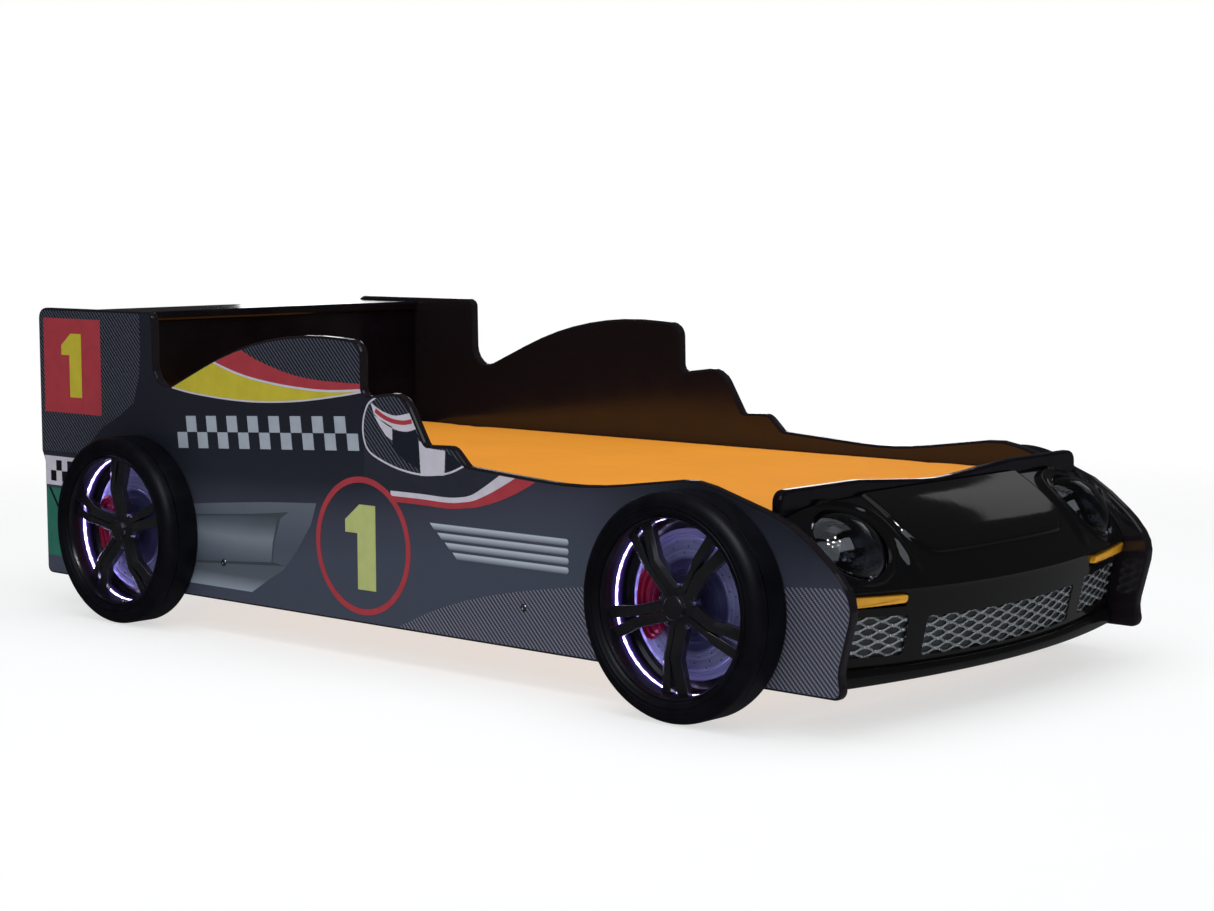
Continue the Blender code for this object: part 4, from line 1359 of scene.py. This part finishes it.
def disc_object(steel):
    """Brake disc with a hat, a friction ring between grooves, and drilled holes."""
    profile = [(0.0, 0.0032), (0.1000, 0.0032), (0.1006, 0.0040), (0.1006, 0.0082), (0.0996, 0.0090)]
    for groove in (0.0940, 0.0900, 0.0650):
        profile += [(groove + 0.0010, 0.0090), (groove + 0.0004, 0.0084)]
        profile += [(groove - 0.0004, 0.0084), (groove - 0.0010, 0.0090)]
    profile += [(0.0515, 0.0090), (0.0500, 0.0098), (0.0480, 0.0103), (0.0, 0.0106)]
    made = link("disc", to_mesh("disc", turned(profile, 96), steel, 30.0))
    holes = bmesh.new()
    for ring, (radius, shift) in enumerate(((0.0690, 0.0), (0.0770, 0.5), (0.0845, 0.0))):
        for index in range(18):
            angle = 2 * math.pi * (index + shift + 0.18 * ring) / 18
            spot = Matrix.Translation((radius * math.cos(angle), 0.0, radius * math.sin(angle)))
            turned([(0.0, 0.0060), (0.0017, 0.0060), (0.0017, 0.0120), (0.0, 0.0120)], 10, holes, spot)
    boolean(made, "DIFFERENCE", [link("holes", to_mesh("holes", holes, steel))])
    made.data.set_sharp_from_angle(angle=math.radians(30))
    mesh = made.data
    bpy.data.objects.remove(made, do_unlink=True)
    return mesh


def caliper_mesh(red):
    """A cast block over the disc, with ribs round the axle on its face."""
    outline = (
        (0.0550, 0.0098),
        (0.0850, 0.0098),
        (0.0868, 0.0120),
        (0.0868, 0.0180),
        (0.0846, 0.0212),
        (0.0815, 0.0230),
        (0.0796, 0.0192),
        (0.0776, 0.0192),
        (0.0752, 0.0242),
        (0.0715, 0.0244),
        (0.0698, 0.0196),
        (0.0678, 0.0196),
        (0.0654, 0.0248),
        (0.0615, 0.0246),
        (0.0598, 0.0200),
        (0.0570, 0.0216),
        (0.0545, 0.0160),
    )
    rings = []
    steps = 48
    for step in range(steps + 1):
        part = step / steps
        angle = math.radians(mix(144.0, 220.0, part))
        end = smoothstep(0.0, 0.06, min(part, 1 - part))
        ring = []
        for radius, depth in outline:
            radius = mix(0.071, radius, mix(0.82, 1.0, end))
            depth = mix(0.0098, depth, mix(0.55, 1.0, end))
            ring.append(Vector((radius * math.cos(angle), -depth, radius * math.sin(angle))))
        rings.append(ring)
    return to_mesh("caliper", loft(rings), red, 40.0)


def add_wheels(tyre, rim, barrel, light, steel, red, chrome):
    meshes = {
        "tyre_shell": (tyre_mesh(tyre), "tyre_black", "tyre"),
        "rim_barrel": (to_mesh("barrel", turned(barrel_profile(), 128), barrel, 30.0), "rim_black", "rim"),
        "rim_hub": (hub_mesh(rim), "rim_black", None),
        "lit_strip": (strip_mesh(light), "light_strip", "light_ring"),
        "turned_disc": (disc_object(steel), "disc_steel", "brake_disc"),
        "cast_caliper": (caliper_mesh(red), "caliper_red", "caliper"),
    }
    for end, axle, start in AXLES:
        spokes = spoke_mesh(rim, start)
        lugs = lug_mesh(chrome, start)
        for side, sign in SIDES:
            hub = outside_place(axle, TYRE_RADIUS, side, sign)
            tag = f"_{end}_{side}"
            for name, (mesh, slot, node) in meshes.items():
                replaces = [node + tag] if node else ()
                add_piece(name + tag, mesh, hub, replaces=replaces)
            bevelled(add_piece("rim_spokes" + tag, spokes, hub), 0.0009, 2, 25.0)
            add_piece("rim_lugs" + tag, lugs, hub)


# Mattress


def rounded_loop(half_x, half_y, corner, steps=8):
    points = []
    corners = ((half_x, half_y, 0), (-half_x, half_y, 90), (-half_x, -half_y, 180), (half_x, -half_y, 270))
    for a, b, start in corners:
        inner = (a - math.copysign(corner, a), b - math.copysign(corner, b))
        points += arc(inner, corner, start, start + 90, steps)
    return points


COVER_GAP = 0.0050
COVER_CORNER = 0.030
SWELL = 0.0055
COVER_EDGE = ((0.010, 0.0), (0.003, 0.004), (0.0, 0.012))


def mattress_rings(middle, half):
    """The cover before it is blown up: level loops, drawn in a little at its top and bottom edges."""
    low, high = MATTRESS_LOW.z + 0.0015, MATTRESS_HIGH.z - 0.0045
    levels = [*COVER_EDGE, (0.0, 0.5), *((inset, 1.0 - part) for inset, part in COVER_EDGE[::-1])]
    rings = []
    for inset, part in levels:
        inner = COVER_GAP + inset
        loop = rounded_loop(half.x - inner, half.y - inner, COVER_CORNER)
        rings.append([Vector((middle.x + x, middle.y + y, mix(low, high, part))) for x, y in loop])
    return rings


def add_mattress(cover, piping):
    """A foam mattress in a cotton cover, blown up a little by a cloth simulation."""
    middle = (MATTRESS_LOW + MATTRESS_HIGH) / 2
    half = (MATTRESS_HIGH - MATTRESS_LOW) / 2
    mesh = to_mesh("mattress_cover", loft(mattress_rings(middle, half)), cover)
    made = add_piece("mattress_cover", mesh, body="mattress_body", replaces=["mattress"])
    voxels = made.modifiers.new("voxels", "REMESH")
    voxels.mode = "VOXEL"
    voxels.voxel_size = 0.008
    applied(made)
    rest = [vert.co.copy() for vert in made.data.vertices]
    inflate(made)
    settle(made, rest, SWELL)
    smooth = made.modifiers.new("smooth", "SUBSURF")
    smooth.levels = smooth.render_levels = 1
    applied(made)
    made.data.shade_smooth()
    add_seams(made, middle, half, piping)


def inflate(made):
    """Blows the cover up against its own cloth for 20 frames and keeps the result."""
    scene = bpy.context.scene
    cloth = made.modifiers.new("cloth", "CLOTH")
    settings = cloth.settings
    settings.quality = 5
    settings.mass = 0.4
    settings.tension_stiffness = 30.0
    settings.compression_stiffness = 30.0
    settings.shear_stiffness = 12.0
    settings.bending_stiffness = 3.0
    settings.use_pressure = True
    settings.uniform_pressure_force = 4.0
    settings.effector_weights.gravity = 0.0
    cloth.collision_settings.use_collision = False
    cloth.collision_settings.use_self_collision = False
    cloth.point_cache.frame_start = 1
    cloth.point_cache.frame_end = 20
    for step in range(1, 21):
        scene.frame_set(step)
    applied(made)
    scene.frame_set(1)


def settle(made, rest, cap):
    """Keeps every point within `cap` of where it started, and above the slats."""
    floor = MATTRESS_LOW.z + 0.0004
    for vert, start in zip(made.data.vertices, rest):
        shift = vert.co - start
        if shift.length > cap:
            shift.length = cap
        vert.co = start + shift
        vert.co.z = max(vert.co.z, floor)


def even_steps(loop, step):
    """The points of a closed loop, with more of them along its long straight stretches."""
    found = []
    for here, after in zip(loop, loop[1:] + loop[:1]):
        start, run = Vector(here), Vector(after) - Vector(here)
        count = max(1, round(run.length / step))
        found += [start + run * index / count for index in range(count)]
    return found


def add_seams(made, middle, half, piping):
    """Piping round the top and bottom edges of the cover, laid on its surface."""
    bpy.context.view_layer.update()
    loop = even_steps(rounded_loop(half.x - 0.0030, half.y - 0.0030, 0.032, 10), 0.020)
    for name, z in (("top", MATTRESS_HIGH.z - 0.0085), ("low", MATTRESS_LOW.z + 0.0075)):
        name = "mattress_piping_" + name
        points = []
        for x, y in loop:
            _, spot, _, _ = made.closest_point_on_mesh(Vector((middle.x + x, middle.y + y, z)))
            points.append(spot)
        mesh = tube(name, points, 0.0026, piping, closed=True)
        add_piece(name, mesh, body="mattress_body")


# Base, boards and small fittings


def paint(node, finish):
    NODES[node].data.materials.clear()
    NODES[node].data.materials.append(finish)


def paint_base():
    """The hidden slat base, in planed pine with softened edges."""
    legs = ["centre_leg"] + [f"leg_{end}_{side}" for end in ("front", "rear") for side in ("left", "right")]
    timber = (
        ("y", "pine_across", [f"slat_{index:02d}" for index in range(1, 11)]),
        ("x", "pine_along", ["slat_rail_left", "slat_rail_right", "centre_beam"]),
        ("z", "pine_upright", legs),
    )
    for along, name, nodes in timber:
        finish = pine_finish(name, along)
        for node in nodes:
            paint(node, finish)
            bevelled(NODES[node], 0.0012, 2, 20.0)


BOLT_PROFILE = (
    (0.0, 0.0014),
    (0.0016, 0.0014),
    (0.0020, 0.0022),
    (0.0038, 0.0024),
    (0.0050, 0.0018),
    (0.0056, 0.0008),
    (0.0056, 0.0003),
    (0.0, 0.0003),
)


def add_fittings(chrome):
    """The lights' control box and its button, and a small domed head on each bolt cover."""
    paint("light_control_box", case_finish("control_case", (0.018, 0.018, 0.020), 0.42))
    paint("power_button", case_finish("power_key", (0.52, 0.030, 0.024), 0.28))
    for end in ("front", "rear"):
        for side, sign in SIDES:
            node = f"bolt_cover_{end}_{side}"
            low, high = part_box(node)
            middle = (low + high) / 2
            place = outside_place(middle.x, middle.z, side, sign)
            mesh = to_mesh("bolt_cover", turned(BOLT_PROFILE, 40), chrome, 40.0)
            add_piece(f"bolt_head_{end}_{side}", mesh, place, replaces=[node])


# Stage


def add_stage():
    """A pale floor that fades out, so that only the bed's soft shadow shows on it."""
    reach = 6.0
    shape = bmesh.new()
    bmesh.ops.create_circle(shape, cap_ends=True, segments=96, radius=reach)
    made = Finish("pale_floor", (0.45, 0.45, 0.45), 0.85)
    x, y, _ = made.parts(made.place())
    radius = made.math("SQRT", made.math("ADD", made.math("MULTIPLY", x, x), made.math("MULTIPLY", y, y)))
    made.set("Alpha", made.ramp(made.math("DIVIDE", radius, reach), (0.22, 1.0), (0.5, 0.0)))
    made.set("Emission Color", (1.0, 1.0, 1.0, 1.0))
    made.set("Emission Strength", 0.62)
    floor = link("floor", to_mesh("floor", shape, made.material))
    floor.visible_glossy = False


def add_world():
    """White to the camera, an even dim light on matt surfaces, and near dark in every reflection."""
    world = bpy.data.worlds.new("studio")
    bpy.context.scene.world = world
    world.use_nodes = True
    tree = world.node_tree
    tree.nodes.clear()

    def node(kind, *inputs, **settings):
        made = tree.nodes.new("ShaderNode" + kind)
        for name, value in settings.items():
            setattr(made, name, value)
        for socket, value in zip(made.inputs, inputs):
            if isinstance(value, bpy.types.NodeSocket):
                tree.links.new(value, socket)
            else:
                socket.default_value = value
        return made.outputs[0]

    # In reflections the floor far in front of the nose is lighter than the rest
    direction = node("TexCoord")
    split = tree.nodes.new("ShaderNodeSeparateXYZ")
    tree.links.new(direction, split.inputs[0])
    x, y, z = split.outputs
    diagonal = node("Math", x, y, operation="ADD")
    ahead = node("Math", diagonal, 0.91, operation="MULTIPLY", use_clamp=True)
    under = node("Math", z, -8.0, operation="MULTIPLY", use_clamp=True)
    part = node("Math", ahead, under, operation="MULTIPLY")
    level = node("Math", part, 0.10, 0.032, operation="MULTIPLY_ADD")
    glossy = node("Background", (0.97, 0.98, 1.0, 1.0), level)
    ambient = node("Background", (0.94, 0.97, 1.0, 1.0), 0.42)
    seen = node("Background", (1.0, 1.0, 1.0, 1.0), 1.0)
    rays = tree.nodes.new("ShaderNodeLightPath").outputs
    lit = node("MixShader", rays["Is Glossy Ray"], ambient, glossy)
    out = tree.nodes.new("ShaderNodeOutputWorld")
    tree.links.new(node("MixShader", rays["Is Camera Ray"], lit, seen), out.inputs[0])


def add_area(name, place, target, size, radiance, color, reflected):
    """A light that shows only in reflections, or only as soft light on matt surfaces."""
    data = bpy.data.lights.new(name, "AREA")
    data.shape = "RECTANGLE"
    data.size, data.size_y = size
    data.energy = radiance * math.pi * size[0] * size[1]
    data.color = color
    made = link(name, data)
    made.location = place
    made.rotation_euler = (Vector(target) - Vector(place)).to_track_quat("-Z", "Y").to_euler()
    made.visible_camera = False
    made.visible_glossy = reflected
    made.visible_diffuse = not reflected
    return made


def add_lights():
    neutral = (1.0, 1.0, 1.0)
    cool = (0.86, 0.93, 1.0)
    add_area("overhead", (0.1, -0.2, 2.7), (0.1, -0.2, 0.0), (2.6, 2.6), 1.9, neutral, False)
    add_area("near_side", (0.9, -3.0, 2.2), (0.2, 0.0, 0.2), (1.5, 1.1), 2.4, cool, False)
    add_area("far_side", (0.7, 3.0, 2.2), (0.6, 0.0, 0.2), (1.6, 0.9), 0.8, (0.96, 0.97, 1.0), False)
    add_area("seen_window", (2.83, -0.83, 2.78), (0.783, -0.283, 0.25), (1.9, 1.5), 1.7, cool, True)
    add_area("seen_haze", (2.1, -3.3, 2.9), (0.783, -0.283, 0.25), (4.0, 3.0), 1.00, cool, True)
    add_area("seen_card", (0.43, 3.47, 2.31), (0.8, 0.05, 0.27), (1.10, 0.52), 0.42, neutral, True)
    add_area("seen_above", (0.9, -0.3, 3.0), (0.9, -0.3, 0.0), (0.9, 0.9), 0.5, neutral, True)
    add_area("seen_low_back", (-3.2, 3.6, 0.75), (-0.6, 0.0, 0.5), (2.6, 0.9), 2.6, neutral, True)
    for index in range(7):
        angle = 2 * math.pi * index / 6
        reach = 0.0 if index == 6 else 0.62
        data = bpy.data.lights.new(f"ceiling_bulb_{index + 1}", "AREA")
        data.shape = "DISK"
        data.size = 0.16
        data.energy = 9.0
        bulb = link(data.name, data)
        bulb.location = (1.80 + reach * math.cos(angle), -1.50 + reach * math.sin(angle), 2.70)
        bulb.visible_camera = False
        bulb.visible_diffuse = False
        bulb.visible_transmission = False


def add_camera():
    azimuth, elevation, roll = (math.radians(angle) for angle in (42.127, 5.741, -0.184))
    level = math.cos(elevation)
    back = Vector((math.sin(azimuth) * level, -math.cos(azimuth) * level, math.sin(elevation)))
    right = (-back).cross(Vector((0.0, 0.0, 1.0))).normalized()
    up = right.cross(-back)
    turned_right = math.cos(roll) * right + math.sin(roll) * up
    turned_up = -math.sin(roll) * right + math.cos(roll) * up
    data = bpy.data.cameras.new("camera")
    data.sensor_width = 36.0
    data.lens = 71.70
    camera = bpy.data.objects.new("camera", data)
    bpy.context.scene.collection.objects.link(camera)
    axes = Matrix((turned_right, turned_up, back)).transposed().to_4x4()
    camera.matrix_world = Matrix.Translation((2.6166, -2.7758, 0.6633)) @ axes
    bpy.context.scene.camera = camera


def build():
    add_camera()
    add_stage()
    add_world()
    add_lights()
    bpy.context.scene.view_settings.view_transform = "Standard"
    gloss = gloss_finish()
    chrome = bright_metal("bright_chrome", (0.62, 0.63, 0.66), 0.10)
    rim = rim_finish()
    printed = panel_finish()
    board = board_finish()
    for side, _ in SIDES:
        paint("side_panel_" + side, printed)
    for node in ("headboard", "footboard", "wing_shelf"):
        paint(node, board)
    add_prints()
    add_hood(gloss)
    add_amber_lamps(amber_finish())
    add_grilles(strand_finish(), mesh_backing_finish())
    add_headlights(lens_finish(), bowl_finish(), chrome, lens_finish())
    add_wheels(tyre_finish(), rim, barrel_finish(), light_finish(), disc_finish(), caliper_finish(), chrome)
    cover = cover_finish("orange_cover", (0.90, 0.335, 0.030))
    add_mattress(cover, cover_finish("orange_piping", (0.82, 0.295, 0.027), 0.0008))
    paint_base()
    add_fittings(bright_metal("bolt_bright", (0.42, 0.42, 0.45), 0.22))


build()
